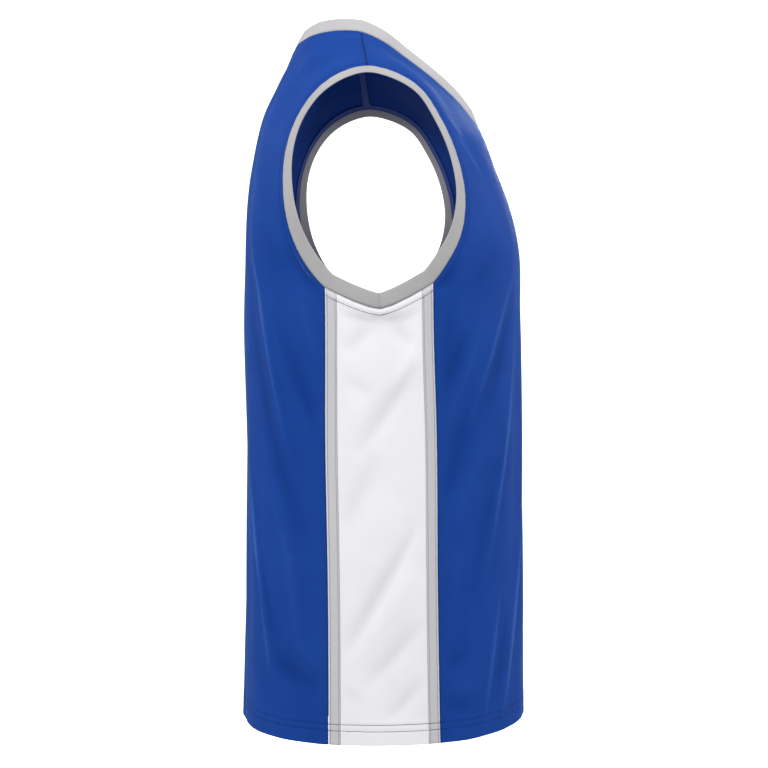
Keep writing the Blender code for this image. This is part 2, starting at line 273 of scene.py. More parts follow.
def between(inner: tuple, outer: tuple, fullness: Any, shares: np.ndarray) -> np.ndarray:
    """Rows of points from one guide line to another, square to both facings.

    Args:
        inner: the first line's points and facings.
        outer: the second line's points and facings.
        fullness: how full each row bulges against the straight distance.
        shares: the columns' places from the first line to the second.

    Returns:
        Points by row, column and axis.
    """
    (start, start_facing), (end, end_facing) = inner, outer
    chord = end - start
    reach = np.linalg.norm(chord, axis=1, keepdims=True) * np.reshape(fullness, (-1, 1))
    start_slope = unit(across_part(chord, start_facing)) * reach
    end_slope = unit(across_part(chord, end_facing)) * reach
    return np.stack([hermite(share, start, end, start_slope, end_slope) for share in shares], axis=1)


@dataclass
class Sheet:
    """Cloth as a grid: rows run up the garment and columns run to its side."""

    points: np.ndarray  # rows, columns, xyz
    across: np.ndarray  # metres along each row from the panel's middle
    along: np.ndarray  # metres up each column from the hem
    seam: np.ndarray  # metres to the nearest seam or edge
    painted_fold_light: np.ndarray  # painted fold light: -1 for painted shade in a trough, 1 for a painted highlight on a crest

    @classmethod
    def of(cls, points: np.ndarray) -> "Sheet":
        """A sheet whose distances are measured on its points.

        Args:
            points: rows, columns, xyz.

        Returns:
            The sheet, far from any seam and without painted fold light or shade.
        """
        wide = np.linalg.norm(np.diff(points, axis=1), axis=2)
        high = np.linalg.norm(np.diff(points, axis=0), axis=2)
        first = points[:, :1, 0]
        across = np.concatenate((first, first + np.cumsum(wide, axis=1)), axis=1)
        along = np.concatenate((np.zeros((1, points.shape[1])), np.cumsum(high, axis=0)))
        return cls(points, across, along, np.ones(across.shape), np.zeros(across.shape))

    def normals(self) -> np.ndarray:
        """The outward direction at each point.

        Returns:
            A unit vector for each.
        """
        normals = unit(np.cross(np.gradient(self.points, axis=1), np.gradient(self.points, axis=0)))
        middle = normals.shape[0] // 2, normals.shape[1] // 2
        outward = np.dot(normals[middle][:2], self.points[middle][:2]) > 0.0
        return normals if outward else -normals

    def raised(self, heights: Any) -> "Sheet":
        """The same sheet, moved out by heights along its normals."""
        moved = self.points + self.normals() * np.broadcast_to(heights, self.across.shape)[..., None]
        return Sheet(moved, self.across, self.along, self.seam, self.painted_fold_light)

    def part(self, rows: slice, columns: slice) -> "Sheet":
        """Some of its rows and columns."""
        values = (self.points, self.across, self.along, self.seam, self.painted_fold_light)
        return Sheet(*(value[rows, columns] for value in values))

    def on(self, side: float) -> "Sheet":
        """This left sheet on one side: 1 is the wearer's left and -1 their right."""
        return Sheet(self.points * (side, 1.0, 1.0), self.across * side, self.along, self.seam, self.painted_fold_light)


def beside_edge(points: np.ndarray, distance: np.ndarray, at: np.ndarray) -> np.ndarray:
    """A strip of a sheet beside one of its edges.

    Args:
        points: the sheet's points, a row for each line that ends at the edge.
        distance: each point's distance from the edge.
        at: the distances wanted, negative past the edge.

    Returns:
        Points by line, distance and axis.
    """
    strip = []
    for line, way in zip(points, distance):
        order = np.argsort(way)
        line, way = line[order], way[order]
        beyond = (line[0] - line[2]) / max(way[2] - way[0], 1e-6)
        inner = resampled(line, way, np.maximum(at, 0.0))
        strip.append(inner + np.maximum(-at, 0.0)[:, None] * beyond)
    return np.stack(strip)


@dataclass(frozen=True)
class PanelCut:
    """The lines that a half of the front or back lies between."""

    centre: GuideLine
    seam: GuideLine
    armhole: GuideLine
    neck: GuideLine
    past_armhole: GuideLine  # the other panel's, past the shoulder seam
    past_neck: GuideLine
    underarm_share: float  # of the centre line, below the underarm
    neck_share: float  # of the armhole, below the foot of the neckline
    fullness: float


FRONT_CUT = PanelCut(
    CENTRE_FRONT, FRONT_SEAM, FRONT_ARMHOLE, FRONT_NECK, BACK_ARMHOLE, BACK_NECK, 0.722, 0.52, 1.02
)
BACK_CUT = PanelCut(
    CENTRE_BACK, BACK_SEAM, BACK_ARMHOLE, BACK_NECK, FRONT_ARMHOLE, FRONT_NECK, 0.620, 0.60, 1.18
)


@dataclass(frozen=True)
class Grid:
    """How finely the sheets are drawn, closer together at hems and seams."""

    hem_reach: float = 30.0 * MM
    hem_rows: int = 24
    torso_rows: int = 88
    chest_rows: int = 50
    strap_rows: int = 44
    columns: int = 82
    seam_steps: tuple[float, ...] = (0.0, 0.0016, 0.0038, 0.0072, 0.012, 0.019)
    seam_share: float = 0.03  # the share of a row or column that the steps take up

    def levels(self) -> np.ndarray:
        """Where rows lie between the hem and the underarm.

        Returns:
            Shares of the way up, closer together at the hem.
        """
        share = self.hem_reach / TORSO_LENGTH
        hem = np.linspace(0.0, share, self.hem_rows + 1)[:-1]
        return np.concatenate((hem, np.linspace(share, 1.0, self.torso_rows + 1)))

    def chest(self) -> np.ndarray:
        """Where rows lie between the underarm and the foot of the neckline."""
        return np.linspace(0.0, 1.0, self.chest_rows + 1)[1:]

    def strap(self) -> np.ndarray:
        """Where rows lie between the foot of the neckline and the shoulder seam.

        Returns:
            Shares of the way up, closer together at the seam.
        """
        steps = np.array(self.seam_steps)
        even = np.linspace(0.0, 1.0 - self.seam_share, self.strap_rows)
        return np.concatenate((even[1:], 1.0 - steps[::-1]))

    def crossing(self) -> np.ndarray:
        """Where columns lie between the edges of a sheet.

        Returns:
            Shares of the way across, closer together at both edges.
        """
        steps = np.array(self.seam_steps)
        even = np.linspace(self.seam_share, 1.0 - self.seam_share, self.columns)
        return np.concatenate((steps, even, 1.0 - steps[::-1]))

    @property
    def underarm(self) -> int:
        """The row at the underarm."""
        return self.hem_rows + self.torso_rows

    @property
    def foot(self) -> int:
        """The row at the foot of the neckline."""
        return self.hem_rows + self.torso_rows + self.chest_rows


GRID = Grid()
EASE_REACH = 30.0 * MM  # how far from a turn of the outline the cloth is smoothed
EASE_BLUR = 14.0 * MM  # how far its neighbours count for a point
EASE_DRIFT = 1.0 * MM  # the most that the smoothing may slide a row


def eased(sheet: Sheet) -> np.ndarray:
    """A half panel's points, smoothed beside the rows where its outline turns.

    Args:
        sheet: the half panel.

    Returns:
        The points, moved within EASE_REACH of those rows but not at the edges.
    """
    from_edges = np.minimum(sheet.across - sheet.across[:, :1], sheet.across[:, -1:] - sheet.across)
    inside = np.clip(from_edges / EASE_REACH, 0.0, 1.0) ** 2
    middle = sheet.along[:, sheet.along.shape[1] // 2]
    near = sum(np.exp(-(((middle - middle[row]) / EASE_REACH) ** 2)) for row in (GRID.underarm, GRID.foot))
    weights = np.exp(-(((middle[:, None] - middle[None, :]) / EASE_BLUR) ** 2)) * np.gradient(middle)[None, :]
    weights /= weights.sum(axis=1, keepdims=True)
    smooth = np.einsum("ij,jkl->ikl", weights, sheet.points)
    drift = np.einsum("ij,j->i", weights, middle) - middle
    evenly = np.abs(drift) < EASE_DRIFT  # not where the blur runs past the sheet's end
    share = (inside * np.clip(near, 0.0, 1.0)[:, None] * evenly[:, None])[..., None]
    return sheet.points * (1.0 - share) + smooth * share


def half_panel(cut: PanelCut) -> Sheet:
    """The left half of a panel, from the hem to the shoulder seam, without folds.

    Args:
        cut: the lines that it lies between.

    Returns:
        Its sheet, with the distance to its nearest seam.
    """
    torso, chest, strap = GRID.levels(), GRID.chest(), GRID.strap()
    neck, armhole = cut.neck.over(cut.past_neck), cut.armhole.over(cut.past_armhole)
    neck_top = neck.share_of(len(cut.neck.places) - 1) - SHOULDER_GAP
    armhole_top = armhole.share_of(len(cut.armhole.places) - 1) - SHOULDER_GAP
    level = cut.neck_share * armhole_top
    inner_parts = (
        cut.centre.at(torso * cut.underarm_share),
        cut.centre.at(cut.underarm_share + chest * (1.0 - cut.underarm_share)),
        neck.at(strap * neck_top),
    )
    outer_parts = (
        cut.seam.at(torso),
        armhole.at(chest * level),
        armhole.at(level + strap * (armhole_top - level)),
    )
    inner = tuple(np.vstack(values) for values in zip(*inner_parts))
    outer = tuple(np.vstack(values) for values in zip(*outer_parts))
    width = np.linalg.norm(outer[0][0] - inner[0][0])
    shares = GRID.crossing() * (1.0 - 0.5 * SEAM_GAP / width)
    level_rows = np.full(len(torso) + len(chest), cut.fullness)
    fullness = np.concatenate((level_rows, cut.fullness + strap * (1.0 - cut.fullness)))
    sheet = Sheet.of(eased(Sheet.of(between(inner, outer, fullness, shares))))
    sheet.seam = sheet.across[:, -1:] - sheet.across
    rows = slice(GRID.foot, None)
    to_neck = sheet.across[rows] - sheet.across[rows, :1]
    to_shoulder = sheet.along[-1:] - sheet.along[rows]
    sheet.seam[rows] = np.minimum(np.minimum(sheet.seam[rows], to_neck), to_shoulder)
    return sheet


MARGIN_COLUMNS = 3  # of the side panel, outside a tape
TAPE_COLUMNS = 8  # from a tape's outer edge to its inner one
MIDDLE_COLUMNS = 33
CHORD_TO_CLOTH = 1.02  # the side panel's breadth, to the straight distance between its seams


def side_sheet() -> Sheet:
    """The left side panel without creases, its top edge notched at the underarm.

    Returns:
        Its sheet, which has columns along the edges of both tapes.
    """
    front, back = FRONT_SEAM.at([0.5])[0][0], BACK_SEAM.at([0.5])[0][0]
    breadth = np.linalg.norm(back - front) * CHORD_TO_CLOTH
    margin, inner = TAPE_MARGIN / breadth, (TAPE_MARGIN + TAPE_WIDTH) / breadth
    gap = 0.5 * SEAM_GAP / breadth
    margin_places = np.linspace(gap, margin, MARGIN_COLUMNS + 1)[:-1]
    start = np.concatenate((margin_places, np.linspace(margin, inner, TAPE_COLUMNS + 1)[:-1]))
    shares = np.concatenate((start, np.linspace(inner, 1.0 - inner, MIDDLE_COLUMNS), 1.0 - start[::-1]))
    levels = GRID.levels()
    points = between(FRONT_SEAM.at(levels), BACK_SEAM.at(levels), SIDE_FULLNESS, shares)
    notch = 1.0 - np.abs(2.0 * shares - 1.0) ** NOTCH_CURVE
    points[..., 2] -= UNDERARM_DROP * notch[None, :] * levels[:, None] ** 2
    sheet = Sheet.of(points)
    sheet.across -= 0.5 * (sheet.across[:, :1] + sheet.across[:, -1:])
    half_width = sheet.across[:, -1:]
    sheet.seam = np.minimum(half_width - np.abs(sheet.across), sheet.along[-1:] - sheet.along)
    return sheet


# ------------------------------------------------------------- what hangs unevenly


CREST = 2.2 * MM  # how far beside a crease's line its crest is rounded
CREST_HIGHLIGHT = 3.6 * MM  # how far beside a sharp one its painted highlight reaches
SOFT_HIGHLIGHT = 10.0 * MM  # how much farther beside the softest
SOFT_CREST = 14.0 * MM  # the steep side of a crease that gets hardly any painted highlight
FULL_PAINT_DEPTH = 2.5 * MM  # a ridge this deep gets its full painted highlight, a trough its full painted shade
ARCH_POWER = 0.75  # how bluntly a crease ends
BROAD_REACH, FOOT_REACH = 1.3, 2.8  # how far the painted light and shade of a slope, and the painted shade at its foot, reach, in widths
NARROW_SHARE, TOP_SHARE = 0.75, 0.4  # how strongly a sharp crest and a round one are painted with a highlight
BROAD_SHARE, FOOT_SHARE = 0.22, 0.55  # how much lighter the gentle side is painted, and how much painted shade lies at the steep one's foot


class Crease(NamedTuple):
    """A soft ridge, or a trough when its depth is negative, along a bowed line."""

    across0: float  # metres from the panel's middle towards the wearer's left
    height0: float
    across1: float
    height1: float
    bow: float
    width: float
    steep: float  # the width of its other side, on the left of the way from 0 to 1
    depth: float

    def place(self, across: np.ndarray, height: np.ndarray) -> tuple[np.ndarray, np.ndarray]:
        """Where points lie along the crease and beside it.

        Args:
            across: each point's distance from the panel's middle.
            height: each point's height.

        Returns:
            The share of the depth that is left there, and metres beside the line.
        """
        line = np.array((self.across1 - self.across0, self.height1 - self.height0))
        length = np.linalg.norm(line)
        line = line / length
        ahead, up = across - self.across0, height - self.height0
        inside = np.clip((ahead * line[0] + up * line[1]) / length, 0.0, 1.0)
        arch = np.sin(np.pi * inside) ** ARCH_POWER
        return arch, ahead * line[1] - up * line[0] - self.bow * arch

    def painted_light(self, beside: np.ndarray, width: np.ndarray) -> np.ndarray:
        """How strongly the crease paints highlight and shade into the cloth's colour.

        Args:
            beside: metres beside its line.
            width: its width on that side.

        Returns:
            A share of its strength, negative in the painted shade at the foot of a steep side.
        """
        broad = np.exp(-((beside / (BROAD_REACH * width)) ** 2))
        if self.depth < 0.0:
            return broad
        sharp = min(self.steep, self.width)
        soft = (sharp / SOFT_CREST) ** 2
        narrow = np.exp(-((beside / (CREST_HIGHLIGHT + soft * SOFT_HIGHLIGHT)) ** 2)) * (1.0 - soft) ** 2
        top = np.exp(-((beside / sharp) ** 2))
        foot = np.exp(-((beside / (FOOT_REACH * sharp)) ** 2)) - top
        sides = np.where(width > sharp, BROAD_SHARE * (1.0 - soft) * broad, -FOOT_SHARE * foot)
        return NARROW_SHARE * narrow + TOP_SHARE * soft * top + sides


def creased(
    creases: Sequence[Crease], across: np.ndarray, height: np.ndarray
) -> tuple[np.ndarray, np.ndarray]:
    """How far creases move the cloth out, and the highlight and shade that they paint into its colour.

    Args:
        creases: the ridges and troughs.
        across: each point's distance from the panel's middle.
        height: each point's height.

    Returns:
        A distance for each point, and its painted fold light, from -1 for shade in a trough to 1 for a
        highlight on a crest.
    """
    total, painted_fold_light = np.zeros_like(across), np.zeros_like(across)
    for crease in creases:
        arch, beside = crease.place(across, height)
        width = np.where(beside < 0.0, crease.steep, crease.width)
        from_crest = np.hypot(beside, CREST) - CREST
        total += crease.depth * arch * np.exp(-from_crest / width)
        # painted highlight along ridges and painted shade in troughs
        painted_fold_light += arch * crease.depth / FULL_PAINT_DEPTH * crease.painted_light(beside, width)
    return total, np.clip(painted_fold_light, -1.0, 1.0)


class Variation(NamedTuple):
    """How a crease on the other side differs."""

    slide: float  # how far up it moves, in slides
    wider: float  # how much farther from the middle it starts
    deeper: float


OTHER_SIDE = (
    Variation(-1.0, 0.92, 0.55),
    Variation(2.4, 1.16, 0.85),
    Variation(0.5, 0.86, 1.10),
    Variation(-1.8, 1.04, 0.50),
)


def on_other_side(creases: Sequence[Crease], stretch: float, slide: float) -> tuple[Crease, ...]:
    """Like creases for the body's other side, as uneven as the first.

    Args:
        creases: those of one side.
        stretch: how much farther from the middle they lie.
        slide: how far they slide, in metres.

    Returns:
        A crease for each.
    """
    made = []
    for index, crease in enumerate(creases):
        change = OTHER_SIDE[index % len(OTHER_SIDE)]
        made.append(
            Crease(
                across0=-crease.across0 * stretch * change.wider,
                height0=crease.height0 + change.slide * slide,
                across1=-crease.across1 * stretch,
                height1=crease.height1 + 0.5 * change.slide * slide,
                bow=-crease.bow,
                width=crease.steep,
                steep=crease.width,
                depth=crease.depth * change.deeper,
            )
        )
    return tuple(made)


@dataclass(frozen=True)
class Drift:
    """The slow unevenness of hanging cloth, as a few seeded waves."""

    seed: int
    depth: float = 0.30 * MM
    shortest: float = 0.045
    longest: float = 0.160
    waves: int = 9
    lean: float = 0.55  # the most that a wave leans, in radians
    drawn_out: float = 0.45  # how much faster waves change across the cloth than up it

    def height(self, across: np.ndarray, height: np.ndarray) -> np.ndarray:
        """How far the waves move the cloth out.

        Args:
            across: each point's distance from the panel's middle.
            height: each point's height.

        Returns:
            A distance for each point.
        """
        random = np.random.default_rng(self.seed)
        total = np.zeros_like(across)
        for _ in range(self.waves):
            pitch = random.uniform(self.shortest, self.longest)
            angle = random.uniform(-self.lean, self.lean)
            phase = random.uniform(0.0, 2.0 * math.pi)
            way = across * math.cos(angle) + self.drawn_out * height * math.sin(angle)
            total += self.depth * np.sin(2.0 * math.pi * way / pitch + phase)
        return total


@dataclass(frozen=True)
class Sewing:
    """How a seam draws its cloth in, and puckers it."""

    groove: float = 0.50 * MM
    groove_breadth: float = 1.3 * MM
    pucker: float = 0.16 * MM
    pucker_pitch: float = 15.0 * MM
    pucker_reach: float = 9.0 * MM

    def height(self, distance: np.ndarray, way: np.ndarray) -> np.ndarray:
        """How far a seam moves the cloth out.

        Args:
            distance: metres from the seam.
            way: metres along it.

        Returns:
            A distance for each point, negative where the cloth is drawn in.
        """
        turns = 2.0 * math.pi * way / self.pucker_pitch
        # Two slower waves make the puckers uneven.
        uneven = np.sin(turns + 1.4 * np.sin(turns / 3.7) + 0.8 * np.sin(turns / 9.1))
        bulge = self.pucker * uneven * np.exp(-distance / self.pucker_reach)
        return bulge - self.groove * np.exp(-((distance / self.groove_breadth) ** 2))


@dataclass(frozen=True)
class Hem:
    """The hem, turned up inside and held by two rows of stitches."""

    turn: float = 26.0 * MM
    lower_row: float = 15.2 * MM
    upper_row: float = 21.8 * MM
    fold: float = 1.3 * MM  # from the outer face to the turned cloth's own face
    fold_points: int = 5
    swell: float = 0.22 * MM  # how far the doubled cloth stands out
    swell_edge: float = 0.8 * MM
    groove: float = 0.24 * MM  # how far a row of stitches draws it in
    groove_breadth: float = 1.1 * MM
    pucker: float = 0.13 * MM
    pucker_pitch: float = 13.0 * MM
    pucker_reach: float = 9.0 * MM

    def height(self, above: np.ndarray, across: np.ndarray) -> np.ndarray:
        """How far the doubled cloth and its stitches move the hem out.

        Args:
            above: metres above the hem's edge.
            across: metres along it.

        Returns:
            A distance for each point.
        """
        past_turn = np.minimum((above - self.turn) / self.swell_edge, 40.0)  # kept small enough for exp
        doubled = self.swell / (1.0 + np.exp(past_turn))
        stitched = (self.lower_row, self.upper_row)
        rows = sum(np.exp(-(((above - row) / self.groove_breadth) ** 2)) for row in stitched)
        turns = 2.0 * math.pi * across / self.pucker_pitch
        near = np.exp(-(((above - self.upper_row) / self.pucker_reach) ** 2))
        # A slower wave makes the puckers uneven.
        pucker = self.pucker * near * np.sin(turns + 1.7 * np.sin(turns / 4.3))
        return doubled - self.groove * rows + pucker

    def turned(self, sheet: Sheet, fold: float) -> Sheet:
        """The sheet with its bottom folded inwards and up.

        Args:
            sheet: cloth whose first row is the hem's edge.
            fold: how far inside the outer face the turned part lies.

        Returns:
            A sheet that starts at the turned part's top, inside.
        """
        above = sheet.points[:, 0, 2] - sheet.points[0, 0, 2]
        last = int(np.searchsorted(above, self.turn))
        normals, radius = sheet.normals(), 0.5 * fold
        first = int(np.searchsorted(above, radius))
        inside = sheet.points[first:last][::-1] - normals[first:last][::-1] * fold
        up = np.array((0.0, 0.0, radius))
        centre = sheet.points[0] - normals[0] * radius + up
        angles = np.linspace(math.pi, 0.0, self.fold_points + 2)
        bend = [centre + normals[0] * radius * math.cos(angle) - up * math.sin(angle) for angle in angles]
        points = np.concatenate((inside, np.stack(bend), sheet.points[first:]))
        count, columns = len(inside) + len(bend), sheet.across.shape[1]
        across, seam, painted_fold_light = (
            np.concatenate((np.repeat(value[:1], count, axis=0), value[first:]))
            for value in (sheet.across, sheet.seam, sheet.painted_fold_light)
        )
        drop = np.concatenate((-above[first:last][::-1], np.zeros(len(bend))))
        along = np.concatenate((np.repeat(drop[:, None], columns, axis=1), sheet.along[first:]))
        return Sheet(points, across, along, seam, painted_fold_light)


SEWING = Sewing()
HEM_TURN = Hem()


# ------------------------------------------------------------------------- meshes


class Piece:
    """Points, faces and cloth places, gathered for one mesh."""

    WELD = 0.02 * MM  # points this close become one

    def __init__(self) -> None:
        """Start with nothing."""
        self.points: list[np.ndarray] = []
        self.places: list[np.ndarray] = []
        self.faces: list[tuple[int, ...]] = []
        self.count = 0

    def add_grid(self, points: np.ndarray, places: np.ndarray, flip: bool, around: bool = False) -> None:
        """Add a grid of faces.

        Args:
            points: rows, columns, xyz.
            places: rows, columns, and what the finishes read: 3 values, or 4 with the painted fold light.
            flip: whether to turn the faces over.
            around: whether the last column joins the first.
        """
        rows, columns = points.shape[:2]
        index = self.count + np.arange(rows * columns).reshape(rows, columns)
        if around:
            index = np.concatenate((index, index[:, :1]), axis=1)
        corners = (index[:-1, :-1], index[:-1, 1:], index[1:, 1:], index[1:, :-1])
        rings = np.stack([corner.ravel() for corner in corners], axis=1)
        self.faces.extend(map(tuple, (rings[:, ::-1] if flip else rings).tolist()))
        self.points.append(points.reshape(-1, 3))
        flat = places.reshape(-1, places.shape[-1])
        self.places.append(np.pad(flat, ((0, 0), (0, 4 - flat.shape[1]))))
        self.count += rows * columns

    def add_sheet(self, sheet: Sheet) -> None:
        """Add a sheet of cloth, its faces turned outwards.

        Args:
            sheet: the cloth.
        """
        row, column = -3, 3  # a place inside every sheet
        leftwards = np.gradient(sheet.points, axis=1)[row, column]
        upwards = np.gradient(sheet.points, axis=0)[row, column]
        flip = float(np.dot(np.cross(leftwards, upwards), sheet.normals()[row, column])) < 0.0
        places = np.stack((sheet.across, sheet.along, sheet.seam, sheet.painted_fold_light), axis=-1)
        self.add_grid(sheet.points, places, flip)

    def object(self, name: str, finish: bpy.types.Material, wall: float = 0.0) -> bpy.types.Object:
        """The finished object, welded where its sheets meet.

        Args:
            name: the piece's name.
            finish: its material.
            wall: the thickness behind the sheets, or 0 for a closed form.

        Returns:
            The new object, which rides on the part's body.
        """
        points, places = np.concatenate(self.points), np.concatenate(self.places)
        cells = np.round(points / self.WELD).astype(int)
        _, first, merged = np.unique(cells, axis=0, return_index=True, return_inverse=True)
        merged = merged.ravel()
        faces = [tuple(merged[list(face)].tolist()) for face in self.faces]
        mesh = bpy.data.meshes.new(name)
        mesh.from_pydata(points[first].tolist(), [], faces)
        cloth = mesh.attributes.new("cloth", "FLOAT_VECTOR", "POINT")
        cloth.data.foreach_set("vector", places[first, :3].ravel().astype(np.float32))
        # the painted fold light, which the finishes blend into highlight and shade colours
        painted_fold_light = mesh.attributes.new("painted_fold_light", "FLOAT", "POINT")
        painted_fold_light.data.foreach_set("value", places[first, 3].astype(np.float32))
        mesh.shade_smooth()
        mesh.materials.append(finish)
        made = bpy.data.objects.new(name, mesh)
        bpy.context.scene.collection.objects.link(made)
        if wall:
            shell = made.modifiers.new("wall", "SOLIDIFY")
            shell.thickness = wall
            shell.offset = -1.0
            shell.use_even_offset = False
        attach(made, BODY)
        LOG.info("%s: %d points", name, len(first))
        return made


# ----------------------------------------------------------------------- finishes


class Signal:
    """A value that runs between a material's nodes, with arithmetic."""

    def __init__(self, graph: "Graph", socket: bpy.types.NodeSocket) -> None:
        """Wrap an output socket of a graph."""
        self.graph = graph
        self.socket = socket

    def __add__(self, other: Any) -> "Signal":
        """This value and another."""
        return self.graph.math("ADD", self, other)

    def __radd__(self, other: Any) -> "Signal":
        """Another value and this one."""
        return self.graph.math("ADD", other, self)

    def __sub__(self, other: Any) -> "Signal":
        """This value less another."""
        return self.graph.math("SUBTRACT", self, other)

    def __rsub__(self, other: Any) -> "Signal":
        """Another value less this one."""
        return self.graph.math("SUBTRACT", other, self)

    def __mul__(self, other: Any) -> "Signal":
        """This value times another."""
        return self.graph.math("MULTIPLY", self, other)

    def __rmul__(self, other: Any) -> "Signal":
        """Another value times this one."""
        return self.graph.math("MULTIPLY", other, self)


class Graph:
    """The node tree of one material."""

    def __init__(self, name: str) -> None:
        """Make an empty material.

        Args:
            name: the material's name.
        """
        self.material = bpy.data.materials.new(name)
        self.material.use_nodes = True
        self.tree = self.material.node_tree
        self.tree.nodes.clear()

    def node(
        self, kind: str, settings: dict[str, Any] | None = None, inputs: dict[Any, Any] | None = None
    ) -> Any:
        """Add a node.

        Args:
            kind: the node's type.
            settings: its own settings, which are set first.
            inputs: numbers, colours or signals for its sockets, by name or index.

        Returns:
            The node.
        """
        made = self.tree.nodes.new(kind)
        for key, value in (settings or {}).items():
            setattr(made, key, value)
        for key, value in (inputs or {}).items():
            if isinstance(value, Signal):
                self.tree.links.new(value.socket, made.inputs[key])
            else:
                made.inputs[key].default_value = value
        return made

    def signal(self, node: Any, output: Any = 0) -> Signal:
        """One output of a node."""
        return Signal(self, node.outputs[output])

    def math(self, operation: str, *values: Any) -> Signal:
        """A Math node on numbers or signals."""
        return self.signal(self.node("ShaderNodeMath", {"operation": operation}, dict(enumerate(values))))

    def smooth_step(self, value: Signal, low: float, high: float) -> Signal:
        """0 below low, 1 above high and an even slope between."""
        settings = {"interpolation_type": "SMOOTHSTEP"}
        return self.signal(self.node("ShaderNodeMapRange", settings, {0: value, 1: low, 2: high}))

    def blend(self, factor: Any, low: Any, high: Any) -> Signal:
        """A colour between two others.

        Args:
            factor: 0 for the first and 1 for the second.
            low: the first, as a signal or three numbers.
            high: the second.

        Returns:
            The colour.
        """
        first, second = (value if isinstance(value, Signal) else (*value, 1.0) for value in (low, high))
        node = self.node("ShaderNodeMix", {"data_type": "RGBA"}, {0: factor, 6: first, 7: second})
        return self.signal(node, 2)

    def noise(self, place: Signal, scale: float, detail: float = 2.0) -> Signal:
        """Soft noise, from 0 to 1."""
        inputs = {"Vector": place, "Scale": scale, "Detail": detail}
        return self.signal(self.node("ShaderNodeTexNoise", None, inputs))

    def cloth(self) -> tuple[Signal, Signal, Signal, Signal]:
        """The cloth's place, which every mesh of this file keeps.

        Returns:
            The place as a vector, across, along and the distance to a seam.
        """
        place = self.node("ShaderNodeAttribute", {"attribute_name": "cloth"})
        split = self.node("ShaderNodeSeparateXYZ", None, {0: self.signal(place, "Vector")})
        parts = [self.signal(split, axis) for axis in range(3)]
        flat = self.node("ShaderNodeCombineXYZ", None, {0: parts[0], 1: parts[1]})
        return self.signal(flat), parts[0], parts[1], parts[2]

    def painted_fold_light(self) -> Signal:
        """The painted fold light, from -1 for shade in a trough to 1 for a highlight on a crest."""
        return self.signal(self.node("ShaderNodeAttribute", {"attribute_name": "painted_fold_light"}), "Fac")

    def surface(
        self, colour: Any, roughness: Any, height: Signal | None, relief: float, **constants: Any
    ) -> None:
        """Join a Principled shader to the output.

        Args:
            colour: the base colour.
            roughness: the roughness.
            height: what a Bump node raises, from 0 to 1, or None.
            relief: how high 1 stands, in metres.
            constants: values for the shader's other sockets, _ for each space.
        """
        inputs = {"Base Color": colour, "Roughness": roughness}
        inputs |= {name.replace("_", " "): value for name, value in constants.items()}
        if height is not None:
            bump = self.node("ShaderNodeBump", None, {"Strength": 1.0, "Distance": relief, "Height": height})
            inputs["Normal"] = self.signal(bump)
        shader = self.node("ShaderNodeBsdfPrincipled", None, inputs)
        self.node("ShaderNodeOutputMaterial", None, {"Surface": self.signal(shader)})


@dataclass(frozen=True)
class Knit:
    """Smooth interlock knit, whose columns of loops run up the cloth."""

    name: str
    colour: Colour
    deep: Colour  # painted shade between the columns, and where the dye is fuller
    # painted highlight on a fold's crest
    crest: Colour
    # painted shade in a fold's trough and on the strip beside a seam
    trough: Colour
    seam: Colour  # painted shadow where the cloth is drawn into a seam
    roughness: float = 0.58
    seam_strip_shade: float = 0.12  # how strongly the strip between a seam and its stitches is painted with the trough's shade
    sheen: float = 0.28
    sheen_tint: Colour = (1.0, 1.0, 1.0)
    column: float = 0.78 * MM
    course: float = 0.95 * MM
    relief: float = 0.030 * MM

    CLOUDS, GRAIN = 22.0, 900.0  # the noises' scales
    BETWEEN, CLOUDED, GRAINED = 0.30, 0.22, 0.16  # how much each deepens the colour: painted shade between the columns, then clouded and grainy dye
    LEG, LOOP, FUZZ = 0.8, 0.2, 0.3  # how much each stands out
    SEAM_SHADOW = (0.2 * MM, 1.3 * MM)  # from a seam, where its painted shadow fades out
    STITCHED = (5.5 * MM, 7.5 * MM)  # where the painted shade of the strip beside it does
    FULL_CREST, FULL_TROUGH = 1.15, 1.3  # the painted fold light that would take the highlight and shade colours up whole

    def material(self) -> bpy.types.Material:
        """The knit as a material.

        Returns:
            The material.
        """
        graph = Graph(self.name)
        place, across, along, seam = graph.cloth()
        turn = across * (1.0 / self.column)
        leg = graph.math("ABSOLUTE", graph.math("SINE", turn * math.pi))
        lean = graph.math("PINGPONG", turn, 0.5)
        loop = graph.math("SINE", (along * (1.0 / self.course) + lean) * (2.0 * math.pi))
        cloudy = graph.noise(place, self.CLOUDS, 3.0)
        grain = graph.noise(place, self.GRAIN)
        clouds = graph.smooth_step(cloudy, 0.35, 0.65)
        # painted shade between the columns of loops, with clouded and grainy dye
        dye_and_groove_shade = (1.0 - leg) * self.BETWEEN + clouds * self.CLOUDED + grain * self.GRAINED
        # painted fold light: highlight on crests, shade in troughs, and shade on the strip beside a seam
        painted_light = graph.painted_fold_light()
        crest = graph.smooth_step(painted_light, 0.0, self.FULL_CREST)
        sunk = graph.smooth_step(painted_light * -1.0, 0.0, self.FULL_TROUGH)
        # painted shade on the strip between a seam and its stitches
        seam_strip_shade = (1.0 - graph.smooth_step(seam, *self.STITCHED)) * self.seam_strip_shade
        colour = graph.blend(dye_and_groove_shade, self.colour, self.deep)
        colour = graph.blend(crest, colour, self.crest)
        colour = graph.blend(graph.math("MAXIMUM", sunk, seam_strip_shade), colour, self.trough)
        # painted shadow right at a seam
        colour = graph.blend(1.0 - graph.smooth_step(seam, *self.SEAM_SHADOW), colour, self.seam)
        roughness = self.roughness + (grain - 0.5) * 0.10 + (cloudy - 0.5) * 0.08 - crest * 0.10
        graph.surface(
            colour,
            roughness,
            leg * self.LEG + loop * self.LOOP + grain * self.FUZZ,
            self.relief,
            Sheen_Weight=self.sheen,
            Sheen_Roughness=0.15,
            Sheen_Tint=(*self.sheen_tint, 1.0),
            Specular_IOR_Level=0.02,
        )
        return graph.material


